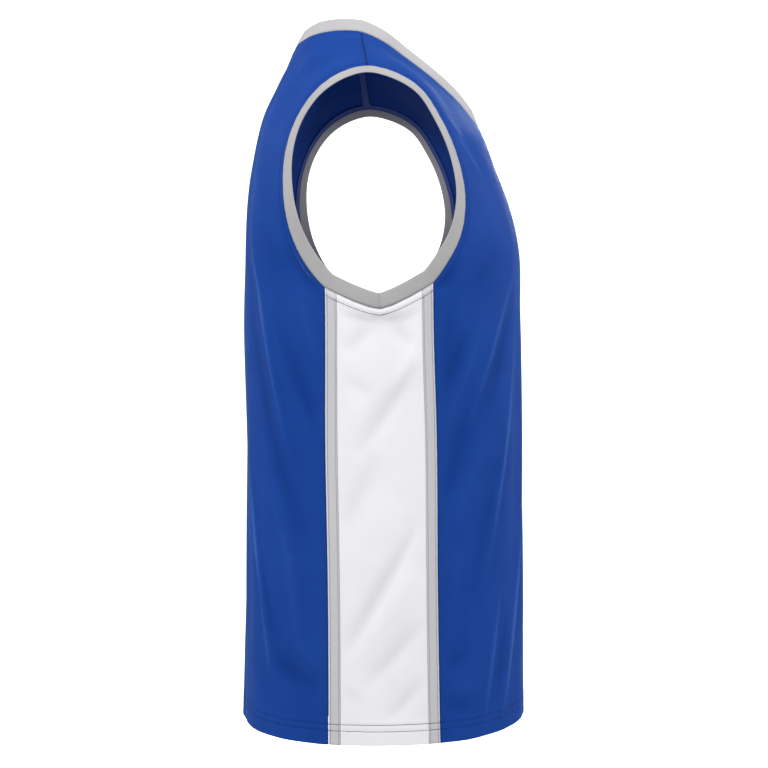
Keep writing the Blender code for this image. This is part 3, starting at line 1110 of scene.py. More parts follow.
@dataclass(frozen=True)
class Webbing:
    """Narrow knitted tape, with a fine rib along it and firmer edges."""

    name: str
    colour: Colour
    deep: Colour  # painted shade in the rib's grooves, and darker at the edges
    roughness: float = 0.55
    rib: float = 0.9 * MM
    pick: float = 0.7 * MM
    edge: float = 1.6 * MM  # how far in the firmer edge reaches
    relief: float = 0.05 * MM

    def material(self) -> bpy.types.Material:
        """The tape as a material.

        Returns:
            The material.
        """
        graph = Graph(self.name)
        place, across, along, edge = graph.cloth()
        rib = graph.math("ABSOLUTE", graph.math("SINE", across * (math.pi / self.rib)))
        pick = graph.math("SINE", along * (2.0 * math.pi / self.pick))
        grain = graph.noise(place, 700.0)
        firm = 1.0 - graph.smooth_step(edge, 0.0, self.edge)
        # painted shade in the rib's grooves, darker at the firm edges, and grain
        colour = graph.blend((1.0 - rib) * 0.35 + firm * 0.5 + grain * 0.15, self.colour, self.deep)
        height = rib * 0.7 + pick * 0.15 + grain * 0.2
        roughness = self.roughness + grain * 0.1
        graph.surface(colour, roughness, height, self.relief, Sheen_Weight=0.2, Sheen_Roughness=0.4)
        return graph.material


@dataclass(frozen=True)
class Overlock:
    """Cloth edges bound by slanting loops of thread."""

    name: str
    thread: Colour
    cloth: Colour
    pitch: float = 1.9 * MM
    slant: float = 0.35
    relief: float = 0.18 * MM
    roughness: float = 0.62

    def material(self) -> bpy.types.Material:
        """The overlocked edge as a material.

        Returns:
            The material.
        """
        graph = Graph(self.name)
        place, across, along, edge = graph.cloth()
        turn = (along + across * self.slant) * (2.0 * math.pi / self.pitch)
        loops = graph.smooth_step(graph.math("SINE", turn), -0.2, 0.7)
        chain = 1.0 - graph.smooth_step(edge, 0.6 * MM, 1.1 * MM)
        cover = graph.math("MAXIMUM", loops, chain)
        grain = graph.noise(place, 800.0)
        colour = graph.blend(cover, self.cloth, self.thread)
        graph.surface(colour, self.roughness + grain * 0.1, cover + grain * 0.2, self.relief)
        return graph.material


@dataclass(frozen=True)
class Thread:
    """Twisted polyester sewing thread."""

    name: str
    colour: Colour
    deep: Colour  # painted shade between its plies
    twist: float = 0.55 * MM  # the length of one turn
    relief: float = 0.03 * MM
    roughness: float = 0.45

    def material(self) -> bpy.types.Material:
        """The thread as a material.

        Returns:
            The material.
        """
        graph = Graph(self.name)
        _, around, along, _ = graph.cloth()
        twist = graph.math("SINE", (along * (1.0 / self.twist) + around) * (2.0 * math.pi))
        ply = twist * 0.5 + 0.5
        # painted shade between the plies
        colour = graph.blend(ply, self.deep, self.colour)
        graph.surface(colour, self.roughness + ply * 0.1, ply, self.relief, Specular_IOR_Level=0.05)
        return graph.material


@dataclass(frozen=True)
class Wardrobe:
    """Every finish of the jersey."""

    blue: Knit = Knit(
        "blue_knit",
        colour=(0.0125, 0.0620, 0.318),
        deep=(0.0080, 0.0430, 0.245),
        crest=(0.040, 0.125, 0.440),
        trough=(0.0070, 0.0420, 0.235),
        seam=(0.0050, 0.0280, 0.165),
        sheen_tint=(0.07, 0.48, 1.0),
    )
    white: Knit = Knit(
        "white_knit",
        colour=(0.885, 0.885, 0.90),
        deep=(0.79, 0.785, 0.81),
        crest=(0.91, 0.91, 0.92),
        trough=(0.76, 0.757, 0.79),
        seam=(0.66, 0.66, 0.71),
        seam_strip_shade=0.85,
    )
    band: Knit = Knit(
        "grey_band_knit",
        colour=(0.450, 0.442, 0.450),
        deep=(0.355, 0.349, 0.355),
        crest=(0.55, 0.55, 0.56),
        trough=(0.28, 0.28, 0.28),
        seam=(0.370, 0.365, 0.375),
        seam_strip_shade=0.0,
        column=0.9 * MM,
    )
    # the armhole band's grey, painted lighter where more light falls on the neck band
    neck: Knit = Knit(
        "grey_neck_knit_painted_lighter",
        colour=(0.500, 0.493, 0.505),
        deep=(0.405, 0.399, 0.410),
        crest=(0.60, 0.60, 0.61),
        trough=(0.38, 0.38, 0.39),
        seam=(0.480, 0.475, 0.485),
        seam_strip_shade=0.0,
        column=0.9 * MM,
    )
    tape: Webbing = Webbing("grey_tape_webbing", (0.60, 0.60, 0.62), (0.40, 0.39, 0.41))
    navy: Thread = Thread("navy_thread", (0.0105, 0.050, 0.265), (0.006, 0.030, 0.180))
    grey: Thread = Thread("grey_thread", (0.330, 0.320, 0.345), (0.200, 0.195, 0.215))
    blue_edge: Overlock = Overlock("blue_overlock", (0.014, 0.052, 0.260), (0.015, 0.068, 0.350))
    white_edge: Overlock = Overlock("white_overlock", (0.60, 0.60, 0.63), (0.80, 0.80, 0.82))


# ------------------------------------------------------------- panels of the body


class Slot(Enum):
    """The record's material slots."""

    BLUE = "blue_knit"
    WHITE = "white_knit"
    BAND = "grey_band"
    TAPE = "grey_tape"
    THREAD = "navy_thread"


RIGHT_FRONT_CREASES = (
    Crease(-0.074, -0.254, -0.178, -0.436, 0.011, 0.013, 0.0045, 0.0024),
    Crease(-0.076, -0.330, -0.160, -0.604, -0.002, 0.017, 0.0045, 0.0028),
    Crease(-0.048, -0.540, -0.124, -0.748, -0.001, 0.015, 0.0045, 0.0028),
    Crease(-0.120, -0.590, -0.158, -0.748, 0.000, 0.010, 0.004, 0.0018),
    Crease(-0.088, -0.295, -0.152, -0.425, 0.004, 0.011, 0.010, -0.0022),
    Crease(-0.168, -0.390, -0.222, -0.530, 0.000, 0.012, 0.012, -0.0022),
    Crease(-0.180, -0.325, -0.214, -0.398, 0.000, 0.008, 0.008, -0.0020),
    Crease(-0.152, -0.305, -0.218, -0.442, 0.000, 0.011, 0.011, 0.0020),
    Crease(-0.140, -0.430, -0.214, -0.545, 0.001, 0.013, 0.012, 0.0014),
    Crease(-0.118, -0.425, -0.176, -0.615, 0.000, 0.011, 0.010, -0.0018),
    Crease(-0.185, -0.495, -0.196, -0.645, 0.000, 0.014, 0.013, 0.0013),
    Crease(-0.106, -0.615, -0.138, -0.745, 0.000, 0.009, 0.008, -0.0018),
    Crease(-0.196, -0.270, -0.220, -0.392, 0.000, 0.009, 0.009, -0.0016),
    Crease(-0.226, -0.674, -0.176, -0.668, 0.000, 0.007, 0.006, -0.0014),
    Crease(-0.224, -0.696, -0.156, -0.701, 0.000, 0.012, 0.011, 0.0011),
    Crease(-0.226, -0.716, -0.172, -0.724, 0.000, 0.007, 0.006, -0.0015),
    Crease(-0.108, -0.228, -0.186, -0.296, 0.000, 0.015, 0.014, -0.0013),
    Crease(-0.194, -0.254, -0.230, -0.286, 0.000, 0.008, 0.007, -0.0026),
    Crease(-0.160, -0.092, -0.137, -0.118, 0.000, 0.007, 0.0035, 0.0016),
    Crease(-0.150, -0.118, -0.118, -0.164, 0.001, 0.008, 0.0035, 0.0018),
    Crease(-0.120, -0.105, -0.108, -0.205, 0.000, 0.012, 0.010, -0.0010),
)
FRONT_CREASES = RIGHT_FRONT_CREASES + on_other_side(RIGHT_FRONT_CREASES, 0.97, 0.016) + (
    Crease(0.004, -0.340, -0.012, -0.640, 0.008, 0.024, 0.020, -0.0022),
    Crease(-0.034, -0.520, -0.040, -0.700, 0.004, 0.018, 0.012, 0.0016),
    Crease(0.030, -0.180, 0.046, -0.360, 0.006, 0.020, 0.012, 0.0015),
    Crease(-0.030, -0.150, -0.052, -0.270, -0.004, 0.016, 0.010, 0.0012),
)
RIGHT_BACK_CREASES = (
    Crease(-0.192, -0.490, -0.117, -0.190, 0.000, 0.018, 0.0045, 0.0027),
    Crease(-0.158, -0.705, -0.092, -0.462, -0.002, 0.016, 0.0045, 0.0031),
    Crease(-0.108, -0.270, -0.205, -0.555, -0.008, 0.012, 0.011, -0.0024),
    Crease(-0.164, -0.305, -0.228, -0.465, 0.000, 0.009, 0.009, -0.0021),
    Crease(-0.222, -0.475, -0.154, -0.295, 0.000, 0.011, 0.011, 0.0020),
    Crease(-0.224, -0.380, -0.196, -0.258, 0.000, 0.011, 0.010, 0.0016),
    Crease(-0.214, -0.640, -0.140, -0.455, 0.000, 0.014, 0.012, 0.0016),
    Crease(-0.190, -0.695, -0.112, -0.565, 0.000, 0.012, 0.012, -0.0015),
    Crease(-0.150, -0.672, -0.224, -0.699, 0.000, 0.010, 0.009, -0.0018),
    Crease(-0.174, -0.642, -0.226, -0.685, 0.000, 0.013, 0.012, 0.0013),
    Crease(-0.200, -0.665, -0.176, -0.560, 0.000, 0.012, 0.011, 0.0012),
    Crease(-0.132, -0.190, -0.212, -0.290, -0.004, 0.014, 0.012, -0.0013),
    Crease(-0.192, -0.234, -0.228, -0.288, 0.000, 0.008, 0.007, -0.0026),
    Crease(-0.140, -0.200, -0.112, -0.080, 0.002, 0.018, 0.014, 0.0011),
)
BACK_CREASES = RIGHT_BACK_CREASES + on_other_side(RIGHT_BACK_CREASES, 0.96, 0.018) + (
    Crease(0.006, -0.290, 0.000, -0.600, 0.006, 0.026, 0.022, -0.0024),
    Crease(0.040, -0.420, 0.052, -0.690, -0.006, 0.020, 0.012, 0.0018),
    Crease(-0.036, -0.250, -0.030, -0.450, 0.006, 0.018, 0.012, 0.0015),
)
RIGHT_SIDE_CREASES = (
    Crease(-0.048, -0.3020, 0.048, -0.3020, 0.0120, 0.0090, 0.0030, -0.0032),
    Crease(0.004, -0.3150, 0.038, -0.3410, 0.000, 0.0070, 0.0060, -0.0017),
    Crease(-0.006, -0.3180, -0.040, -0.3500, 0.000, 0.0080, 0.0060, -0.0017),
    Crease(0.042, -0.3420, 0.006, -0.3920, 0.000, 0.0100, 0.0100, 0.0014),
    Crease(0.041, -0.3600, -0.028, -0.4560, 0.000, 0.0120, 0.0060, -0.0024),
    Crease(-0.038, -0.3760, -0.008, -0.3920, 0.000, 0.0080, 0.0060, -0.0012),
    Crease(-0.004, -0.4520, -0.042, -0.5360, 0.000, 0.0120, 0.0090, -0.0018),
    Crease(0.0385, -0.5220, -0.044, -0.6650, -0.002, 0.0100, 0.0045, -0.0027),
    Crease(0.036, -0.5680, -0.030, -0.6720, 0.000, 0.0120, 0.0120, 0.0012),
    Crease(0.044, -0.6260, -0.024, -0.7000, 0.000, 0.0100, 0.0060, -0.0019),
    Crease(0.042, -0.6880, 0.004, -0.7300, 0.000, 0.0070, 0.0050, -0.0016),
    Crease(-0.046, -0.7000, -0.022, -0.7140, 0.000, 0.0060, 0.0060, -0.0010),
)
SIDE_CREASES = {-1.0: RIGHT_SIDE_CREASES, 1.0: on_other_side(RIGHT_SIDE_CREASES, 0.94, 0.014)}


@dataclass
class BodyPanel:
    """The front or the back, with its hem turned up."""

    node: str
    cut: PanelCut
    creases: tuple[Crease, ...]
    drift: Drift
    flat: tuple[float, float]
    flat_area: float
    wall: float = 0.6 * MM
    fade: float = 17.0 * MM  # over which creases die out towards a side edge
    neck_fade: float = 14.0 * MM

    def half(self, side: float) -> Sheet:
        """One half with its creases and sewing.

        Args:
            side: 1 for the wearer's left and -1 for their right.

        Returns:
            Its outer face.
        """
        plain = half_panel(self.cut)
        fade = np.clip((plain.across[:, -1:] - plain.across) / self.fade, 0.0, 1.0)
        rows = slice(GRID.foot, None)
        from_neck = plain.across[rows] - plain.across[rows, :1]
        to_shoulder = plain.along[-1:] - plain.along[rows]
        for distance in (from_neck, to_shoulder):
            fade[rows] *= np.clip(distance / self.neck_fade, 0.0, 1.0)
        across, height = side * plain.across, plain.points[..., 2]
        # the creases' heights, and the highlight and shade that they paint into the colour
        folds, painted_fold_light = creased(self.creases, across, height)
        plain.painted_fold_light = painted_fold_light * np.sqrt(fade)
        folds = (folds + self.drift.height(across, height)) * fade
        sewn = SEWING.height(plain.seam, plain.along)
        return plain.raised(folds + sewn + HEM_TURN.height(height - HEM, across)).on(side)

    def build(self, finish: bpy.types.Material) -> None:
        """Make the whole panel, which stands for its node.

        Args:
            finish: its material.
        """
        piece = Piece()
        for side in SIDES:
            piece.add_sheet(HEM_TURN.turned(self.half(side), HEM_TURN.fold))
        made = piece.object(self.node + "_cloth", finish, self.wall)
        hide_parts(self.node)


@dataclass
class SidePanel:
    """A white side panel with its two tapes, sewn in between front and back."""

    side: float
    name: str
    wall: float = 0.6 * MM
    tape_wall: float = 0.5 * MM
    tape_rise: float = 0.75 * MM
    tape_edge: float = 0.25 * MM  # how far the stitches draw a tape's edges down
    tape_end: float = 0.6 * MM  # how far its top end goes down
    tape_end_reach: float = 1.2 * MM
    tape_groove: float = 0.16 * MM
    tape_groove_inset: float = 1.4 * MM
    tape_groove_breadth: float = 0.7 * MM
    fade: float = 11.0 * MM
    flat: tuple[float, float] = (0.126, 0.506)
    flat_area: float = 0.0575
    tape_flat: tuple[float, float] = (0.0111, 0.506)
    sheet: Sheet = field(init=False)

    def __post_init__(self) -> None:
        """Shape the panel."""
        plain = side_sheet()
        fade = np.clip((plain.across[:, -1:] - np.abs(plain.across)) / self.fade, 0.0, 1.0)
        across, height = self.side * plain.across, plain.points[..., 2]
        # the creases' heights, and the highlight and shade that they paint into the colour
        folds, painted_fold_light = creased(SIDE_CREASES[self.side], across, height)
        plain.painted_fold_light = painted_fold_light * fade
        sewn = SEWING.height(plain.seam, plain.along)
        self.sheet = plain.raised(folds * fade + sewn + HEM_TURN.height(height - HEM, across))

    def tape(self, columns: slice) -> Sheet:
        """One of its tapes, as a left sheet.

        Args:
            columns: the panel's columns that it covers.

        Returns:
            Its outer face.
        """
        strip = self.sheet.part(slice(None), columns)
        from_edge = np.minimum(strip.across - strip.across[:, :1], strip.across[:, -1:] - strip.across)
        to_top = strip.along[-1:] - strip.along
        sunk = self.tape_edge * np.exp(-from_edge / self.tape_groove_breadth)
        sunk = sunk + self.tape_end * np.exp(-to_top / self.tape_end_reach)
        from_row = (from_edge - self.tape_groove_inset) / self.tape_groove_breadth
        raised = strip.raised(self.tape_rise - sunk - self.tape_groove * np.exp(-(from_row**2)))
        raised.seam = from_edge
        return raised

    def tapes(self) -> dict[str, Sheet]:
        """Both tapes, by the panel that each is next to."""
        first, past = MARGIN_COLUMNS, MARGIN_COLUMNS + TAPE_COLUMNS + 1
        return {"front": self.tape(slice(first, past)), "back": self.tape(slice(-past, -first))}

    def build(self, white: bpy.types.Material, grey: bpy.types.Material) -> None:
        """Make the panel and its tapes, which stand for their nodes.

        Args:
            white: the panel's material.
            grey: the tapes' material.
        """
        piece = Piece()
        piece.add_sheet(HEM_TURN.turned(self.sheet, HEM_TURN.fold).on(self.side))
        panel = piece.object("side_panel_cloth_" + self.name, white, self.wall)
        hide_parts("side_panel_" + self.name)
        for place, strip in self.tapes().items():
            piece = Piece()
            piece.add_sheet(HEM_TURN.turned(strip, HEM_TURN.fold + 2.0 * self.tape_rise).on(self.side))
            tape = piece.object(f"side_tape_cloth_{place}_{self.name}", grey, self.tape_wall)
            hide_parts(f"side_tape_{place}_{self.name}")


class Edge(Enum):
    """An edge of a sheet, by where it is in the grid."""

    SIDE = "last column"
    NECK = "first column"
    TOP = "last row"


@dataclass(frozen=True)
class SeamAllowance:
    """The overlocked edges inside a seam, lying under one of its two cloths."""

    reach: float = 6.6 * MM  # from the seam, under the cloth
    past: float = 1.3 * MM  # over the seam, under the other cloth
    dip: float = 0.4  # how steeply it goes inwards there
    depth: float = 0.70 * MM
    wall: float = 0.80 * MM
    steps: int = 7

    def strip(self, sheet: Sheet, edge: Edge) -> Sheet:
        """The allowance beside one edge of a sheet.

        Args:
            sheet: the cloth that it lies under.
            edge: which of its edges.

        Returns:
            A narrow sheet, across which its columns run.
        """
        points, across, along = sheet.raised(-self.depth).points, sheet.across, sheet.along
        if edge is Edge.TOP:
            points, distance = np.swapaxes(points, 0, 1), (along[-1:] - along).T
        elif edge is Edge.SIDE:
            distance = across[:, -1:] - across
        else:
            distance = across - across[:, :1]
        at = np.concatenate(([-self.past], np.linspace(0.0, self.reach, self.steps)))
        strip = Sheet.of(beside_edge(points, distance, at))
        strip.across = np.broadcast_to(at, strip.across.shape)
        strip.seam = np.minimum(strip.across + self.past, self.reach - strip.across)
        return strip.raised(-self.dip * np.maximum(-strip.across, 0.0))

    def of_panel(self, plain: Sheet) -> list[Sheet]:
        """The allowances at the side and the neckline of half a body panel.

        Args:
            plain: the half panel.

        Returns:
            A strip for each.
        """
        above_hem = plain.part(slice(GRID.hem_rows, None), slice(None))
        yoke = plain.part(slice(GRID.foot, None), slice(None))
        return [self.strip(above_hem, Edge.SIDE), self.strip(yoke, Edge.NECK)]

    def build(self, name: str, strips: Sequence[Sheet], slot: Slot, finish: bpy.types.Material) -> None:
        """Make one piece of several strips, on both sides of the body.

        Args:
            name: the piece's name.
            strips: the strips on the wearer's left.
            slot: the slot of the cloth; not used.
            finish: the overlocked edge's material.
        """
        piece = Piece()
        for side in SIDES:
            for strip in strips:
                piece.add_sheet(strip.on(side))
        piece.object(name, finish, self.wall)


# ------------------------------------------------------------- loops and their trim


@dataclass
class Loop:
    """An edge of the cloth that runs from one mitre round to it again."""

    edge: np.ndarray
    outwards: np.ndarray  # away from the cloth, across the edge
    way: np.ndarray

    SPACING = 2.5 * MM
    EASE = 14.0 * MM  # along which its outward ways are evened
    END = 5.0 * MM  # where the even spacing starts
    END_STEPS = (0.0, 0.0004, 0.0009, 0.0016, 0.0026, 0.0040)
    CORNER = 1.02  # how far out the inset line turns at the mitre, in insets

    @classmethod
    def along(cls, edge: np.ndarray, inside: np.ndarray) -> "Loop":
        """A loop along an edge.

        Args:
            edge: its points, from the mitre round to it again.
            inside: a point of the cloth behind each.

        Returns:
            The loop, evenly spaced but for closer steps at its ends.
        """
        tangent = unit(np.gradient(edge, axis=0))
        outwards = unit(across_part(edge - inside, tangent))
        way = distances(edge)
        steps = np.array(cls.END_STEPS)
        count = int((way[-1] - 2.0 * cls.END) / cls.SPACING)
        even = np.linspace(cls.END, way[-1] - cls.END, count)
        at = np.concatenate((steps, even, way[-1] - steps[::-1]))
        spacing = np.gradient(at)
        edge, outwards = resampled(edge, way, at), resampled(outwards, way, at)
        near = np.exp(-(((at[:, None] - at[None, :]) / cls.EASE) ** 2)) * spacing[None, :]
        return cls(edge, unit(near @ outwards), at)

    @property
    def tangent(self) -> np.ndarray:
        """The way along the loop at each point."""
        return unit(np.gradient(self.edge, self.way, axis=0))

    def inset(self, distance: float, rounding: float) -> np.ndarray:
        """A line inside the loop's edge, rounded where its ends meet.

        Args:
            distance: how far inside.
            rounding: how far from its ends it is rounded.

        Returns:
            The line's points.
        """
        line = self.edge - self.outwards * distance
        to_end = np.minimum(self.way, self.way[-1] - self.way)
        kept = to_end > rounding
        bisector = unit(self.outwards[0] + self.outwards[-1])
        foot = self.edge[0] - bisector * distance * self.CORNER
        closed = np.vstack((foot[None], line[kept], foot[None]))
        way = distances(closed)
        slopes = np.gradient(closed, way, axis=0)
        flat = unit(across_part(slopes[1] + slopes[-2], bisector))
        slopes[0] = slopes[-1] = flat
        at = np.linspace(0.0, way[-1], len(way) * 3)
        index = np.clip(np.searchsorted(way, at, side="right") - 1, 0, len(way) - 2)
        span = (way[index + 1] - way[index])[:, None]
        local = (at - way[index])[:, None] / span
        ends = closed[index], closed[index + 1]
        return hermite(local, *ends, slopes[index] * span, slopes[index + 1] * span)

    def lifted(self, lift: np.ndarray) -> "Loop":
        """The loop with its outward way tipped by lift."""
        outwards = unit(self.outwards + lift[:, None] * np.cross(self.tangent, self.outwards))
        return Loop(self.edge, outwards, self.way)


@dataclass(frozen=True)
class Band:
    """A strip folded double and sewn along a loop, mitred where its ends meet."""

    width: float
    thickness: float = 1.25 * MM
    pillow: float = 0.30 * MM
    inner_pillow: float = 0.3  # of the outer face's
    spread: float = 0.8  # below 1, its points lie closer together towards the fold
    mitre_reach: float = 60.0 * MM
    across_points: int = 12
    fold_points: int = 5
    sewing: Sewing = Sewing(groove=0.15 * MM, groove_breadth=0.9 * MM, pucker=0.10 * MM)

    def section(self) -> tuple[np.ndarray, np.ndarray]:
        """Its closed section.

        Returns:
            Each point's share of the width, and its height above the cloth.
        """
        radius = 0.5 * self.thickness
        flat = np.linspace(0.0, 1.0, self.across_points) ** self.spread * (1.0 - radius / self.width)
        outer = self.pillow * np.sin(np.pi * flat)
        angles = np.linspace(0.5 * math.pi, -0.5 * math.pi, self.fold_points + 2)[1:-1]
        fold = 1.0 - radius / self.width + np.cos(angles) * radius / self.width
        inner = -self.thickness - self.inner_pillow * outer
        shares = np.concatenate((flat, fold, flat[::-1]))
        heights = np.concatenate((outer, radius * np.sin(angles) - radius, inner[::-1]))
        return shares, heights

    def mesh(self, loop: Loop, sign: float) -> Piece:
        """The band's mesh along a loop.

        Args:
            loop: the edge it is sewn to.
            sign: 1 or -1, so that heights count outwards.

        Returns:
            Its points and faces.
        """
        tangent, way = loop.tangent, loop.way
        crossing = loop.outwards * self.width
        bisector = unit(loop.outwards[0] + loop.outwards[-1])
        for end, distance in ((0, way), (-1, way[-1] - way)):
            mitre = bisector * self.width / np.dot(loop.outwards[end], bisector)
            skew = np.dot(mitre - crossing[end], tangent[end])
            share = np.clip(1.0 - distance / self.mitre_reach, 0.0, 1.0)
            crossing = crossing + tangent * (skew * share)[:, None]
        facing = sign * unit(np.cross(loop.outwards, tangent))
        start = loop.edge + loop.outwards * SEAM_GAP
        shares, heights = self.section()
        to_end = np.minimum(way, way[-1] - way)
        from_seam = shares * self.width
        outer = np.clip(1.0 + heights / self.thickness, 0.0, 1.0)
        sewn = self.sewing.height(from_seam[None, :], way[:, None])
        mitred = -self.sewing.groove * np.exp(-((to_end / self.sewing.groove_breadth) ** 2))
        rise = heights[None, :] + (sewn + mitred[:, None]) * outer[None, :]
        flat = start[:, None] + crossing[:, None] * shares[None, :, None]
        points = flat + facing[:, None] * rise[..., None]
        across, along = np.broadcast_arrays(from_seam[None, :], way[:, None])
        places = np.stack((across, along, np.minimum(across, to_end[:, None])), axis=-1)
        piece = Piece()
        piece.add_grid(points, places, sign < 0.0, around=True)
        ring = len(shares)
        last = piece.count - ring
        piece.faces.append(tuple(range(ring))[:: int(-sign)])
        piece.faces.append(tuple(range(last, last + ring))[:: int(sign)])
        return piece


def neck_loop(front: Sheet, back: Sheet) -> Loop:
    """The neckline, from the front's point round the wearer's left to it again.

    Args:
        front: the front's left half.
        back: the back's left half.

    Returns:
        The loop.
    """
    rows = slice(GRID.foot, None)
    edges = [sheet.points[rows, 0] for sheet in (front, back)]
    insides = [sheet.points[rows, 2].copy() for sheet in (front, back)]
    insides[1][0] = back.points[GRID.foot - 2, 0]
    half = [np.vstack((pair[0], pair[1][::-1][1:])) for pair in (edges, insides)]
    whole = [np.vstack((line, (line * MIRROR)[::-1][1:])) for line in half]
    return Loop.along(*whole)


def armhole_loop(front: Sheet, back: Sheet, side: Sheet) -> Loop:
    """The left armhole, from the underarm's notch round it and back.

    Args:
        front: the front's left half.
        back: the back's left half.
        side: the left side panel.

    Returns:
        The loop.
    """
    middle, rows = side.points.shape[1] // 2, slice(GRID.underarm, None)
    lines = []
    for row, column in ((-1, -1), (-3, -3)):  # the edge, and a line inside it
        notch = side.points[row]
        up, down = front.points[rows, column], back.points[rows, column][::-1][1:]
        lines.append(np.vstack((notch[middle:0:-1], up, down, notch[-2 : middle - 1 : -1])))
    return Loop.along(*lines)


class NeckLift(NamedTuple):
    """How far the neck band tips out of the cloth's slope at a share of its way."""

    share: float
    amount: float


@dataclass
class NeckBand:
    """The grey band that stands up round the V neck."""

    band: Band = Band(width=17.5 * MM)
    lifts: tuple[NeckLift, ...] = (
        NeckLift(0.00, 0.22),
        NeckLift(0.15, 0.34),
        NeckLift(0.35, 0.32),
        NeckLift(0.59, 0.40),
        NeckLift(0.80, 0.02),
        NeckLift(1.00, -0.22),
    )
    flat: tuple[float, float] = (0.0175, 0.625)

    def build(self, loop: Loop, finish: bpy.types.Material) -> None:
        """Make the band, which stands for its node.

        Args:
            loop: the edge that it is sewn to.
            finish: its material.
        """
        share = 2.0 * np.minimum(loop.way, loop.way[-1] - loop.way) / loop.way[-1]
        table = np.array(self.lifts)
        lifted = loop.lifted(np.interp(share, table[:, 0], table[:, 1]))
        made = self.band.mesh(lifted, -1.0).object("neck_band_cloth", finish)
        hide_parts("neck_band")


@dataclass
class ArmholeBand:
    """The grey band round one armhole, mitred at the underarm."""

    side: float
    name: str
    band: Band = Band(width=16.0 * MM)
    flat: tuple[float, float] = (0.0160, 0.672)

    def build(self, loop: Loop, finish: bpy.types.Material) -> None:
        """Make the band, which stands for its node.

        Args:
            loop: the edge that it is sewn to.
            finish: its material.
        """
        turn = np.array((self.side, 1.0, 1.0))
        turned = Loop(loop.edge * turn, loop.outwards * turn, loop.way)
        made = self.band.mesh(turned, self.side).object("armhole_band_cloth_" + self.name, finish)
        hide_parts("armhole_band_" + self.name)


# ------------------------------------------------------------------------ stitches


class Outside:
    """The cloth's outer face, for laying threads on."""

    clearance = 1.6 * MM  # above a panel and above what lies on it

    def __init__(self, sheets: Sequence[Sheet]) -> None:
        """Gather the sheets' faces.

        Args:
            sheets: everything that threads can lie on.
        """
        piece = Piece()
        for sheet in sheets:
            piece.add_sheet(sheet)
        self.tree = BVHTree.FromPolygons(np.concatenate(piece.points).tolist(), piece.faces)

    def under(self, points: np.ndarray) -> tuple[np.ndarray, np.ndarray]:
        """The nearest places on the cloth.

        Args:
            points: places near it.

        Returns:
            The places on it, and its outward way at each.
        """
        found = [self.tree.find_nearest(Vector(point)) for point in points]
        above = [hit[0] + hit[1] * self.clearance for hit in found]
        found = [self.tree.find_nearest(place) for place in above]
        return np.array([hit[0] for hit in found]), np.array([hit[1] for hit in found])


class ArchPoint(NamedTuple):
    """A place along a stitch."""

    share: float  # of the stitch's length
    radius: float  # as a share of the thread's
    height: float  # in threads


@dataclass(frozen=True)
class StitchRow:
    """A row of stitches, each a short arch of thread that sinks in at its ends."""

    stitch: float = 2.8 * MM
    gap: float = 0.12 * MM
    thread: float = 0.52 * MM
    sides: int = 6
    arch: tuple[ArchPoint, ...] = (
        ArchPoint(0.00, 0.80, -0.30),
        ArchPoint(0.13, 0.95, 0.02),
        ArchPoint(0.50, 1.00, 0.20),
        ArchPoint(0.87, 0.95, 0.02),
        ArchPoint(1.00, 0.80, -0.30),
    )

    def add_to(self, piece: Piece, points: np.ndarray, outside: Outside) -> None:
        """Add stitches along a line.

        Args:
            piece: the mesh that they go into.
            points: the line, near the cloth.
            outside: the cloth that they lie on.
        """
        way = distances(points)
        arch = np.array(self.arch)
        count = round(way[-1] / (self.stitch + self.gap))
        starts = np.arange(count) * way[-1] / count + 0.5 * self.gap
        at = (starts[:, None] + arch[None, :, 0] * self.stitch).ravel()
        line, facing = outside.under(resampled(points, way, at))
        heights = np.tile(arch[:, 2] * self.thread, count)
        centre = line + facing * heights[:, None]
        stitches = line.reshape(count, -1, 3)
        chord = (stitches[:, -1] - stitches[:, 0]).repeat(len(arch), axis=0)
        beside = np.cross(unit(across_part(chord, facing)), facing)
        angles = np.arange(self.sides) * 2.0 * math.pi / self.sides
        cosines, sines = np.cos(angles)[None, :, None], np.sin(angles)[None, :, None]
        radius = np.tile(arch[:, 1] * 0.5 * self.thread, count)[:, None, None]
        ring = cosines * beside[:, None] + sines * facing[:, None]
        points = (centre[:, None] + ring * radius).reshape(count, len(arch), self.sides, 3)
        turn = np.broadcast_to(angles / (2.0 * math.pi), (len(arch), self.sides))
        for stitch, along in zip(points, at.reshape(count, -1)):
            length = np.broadcast_to(along[:, None], turn.shape)
            base = piece.count
            piece.add_grid(stitch, np.stack((turn, length, np.ones_like(turn)), axis=-1), True, around=True)
            last = piece.count - self.sides
            piece.faces.append(tuple(range(base, base + self.sides)))
            piece.faces.append(tuple(range(last, last + self.sides))[::-1])


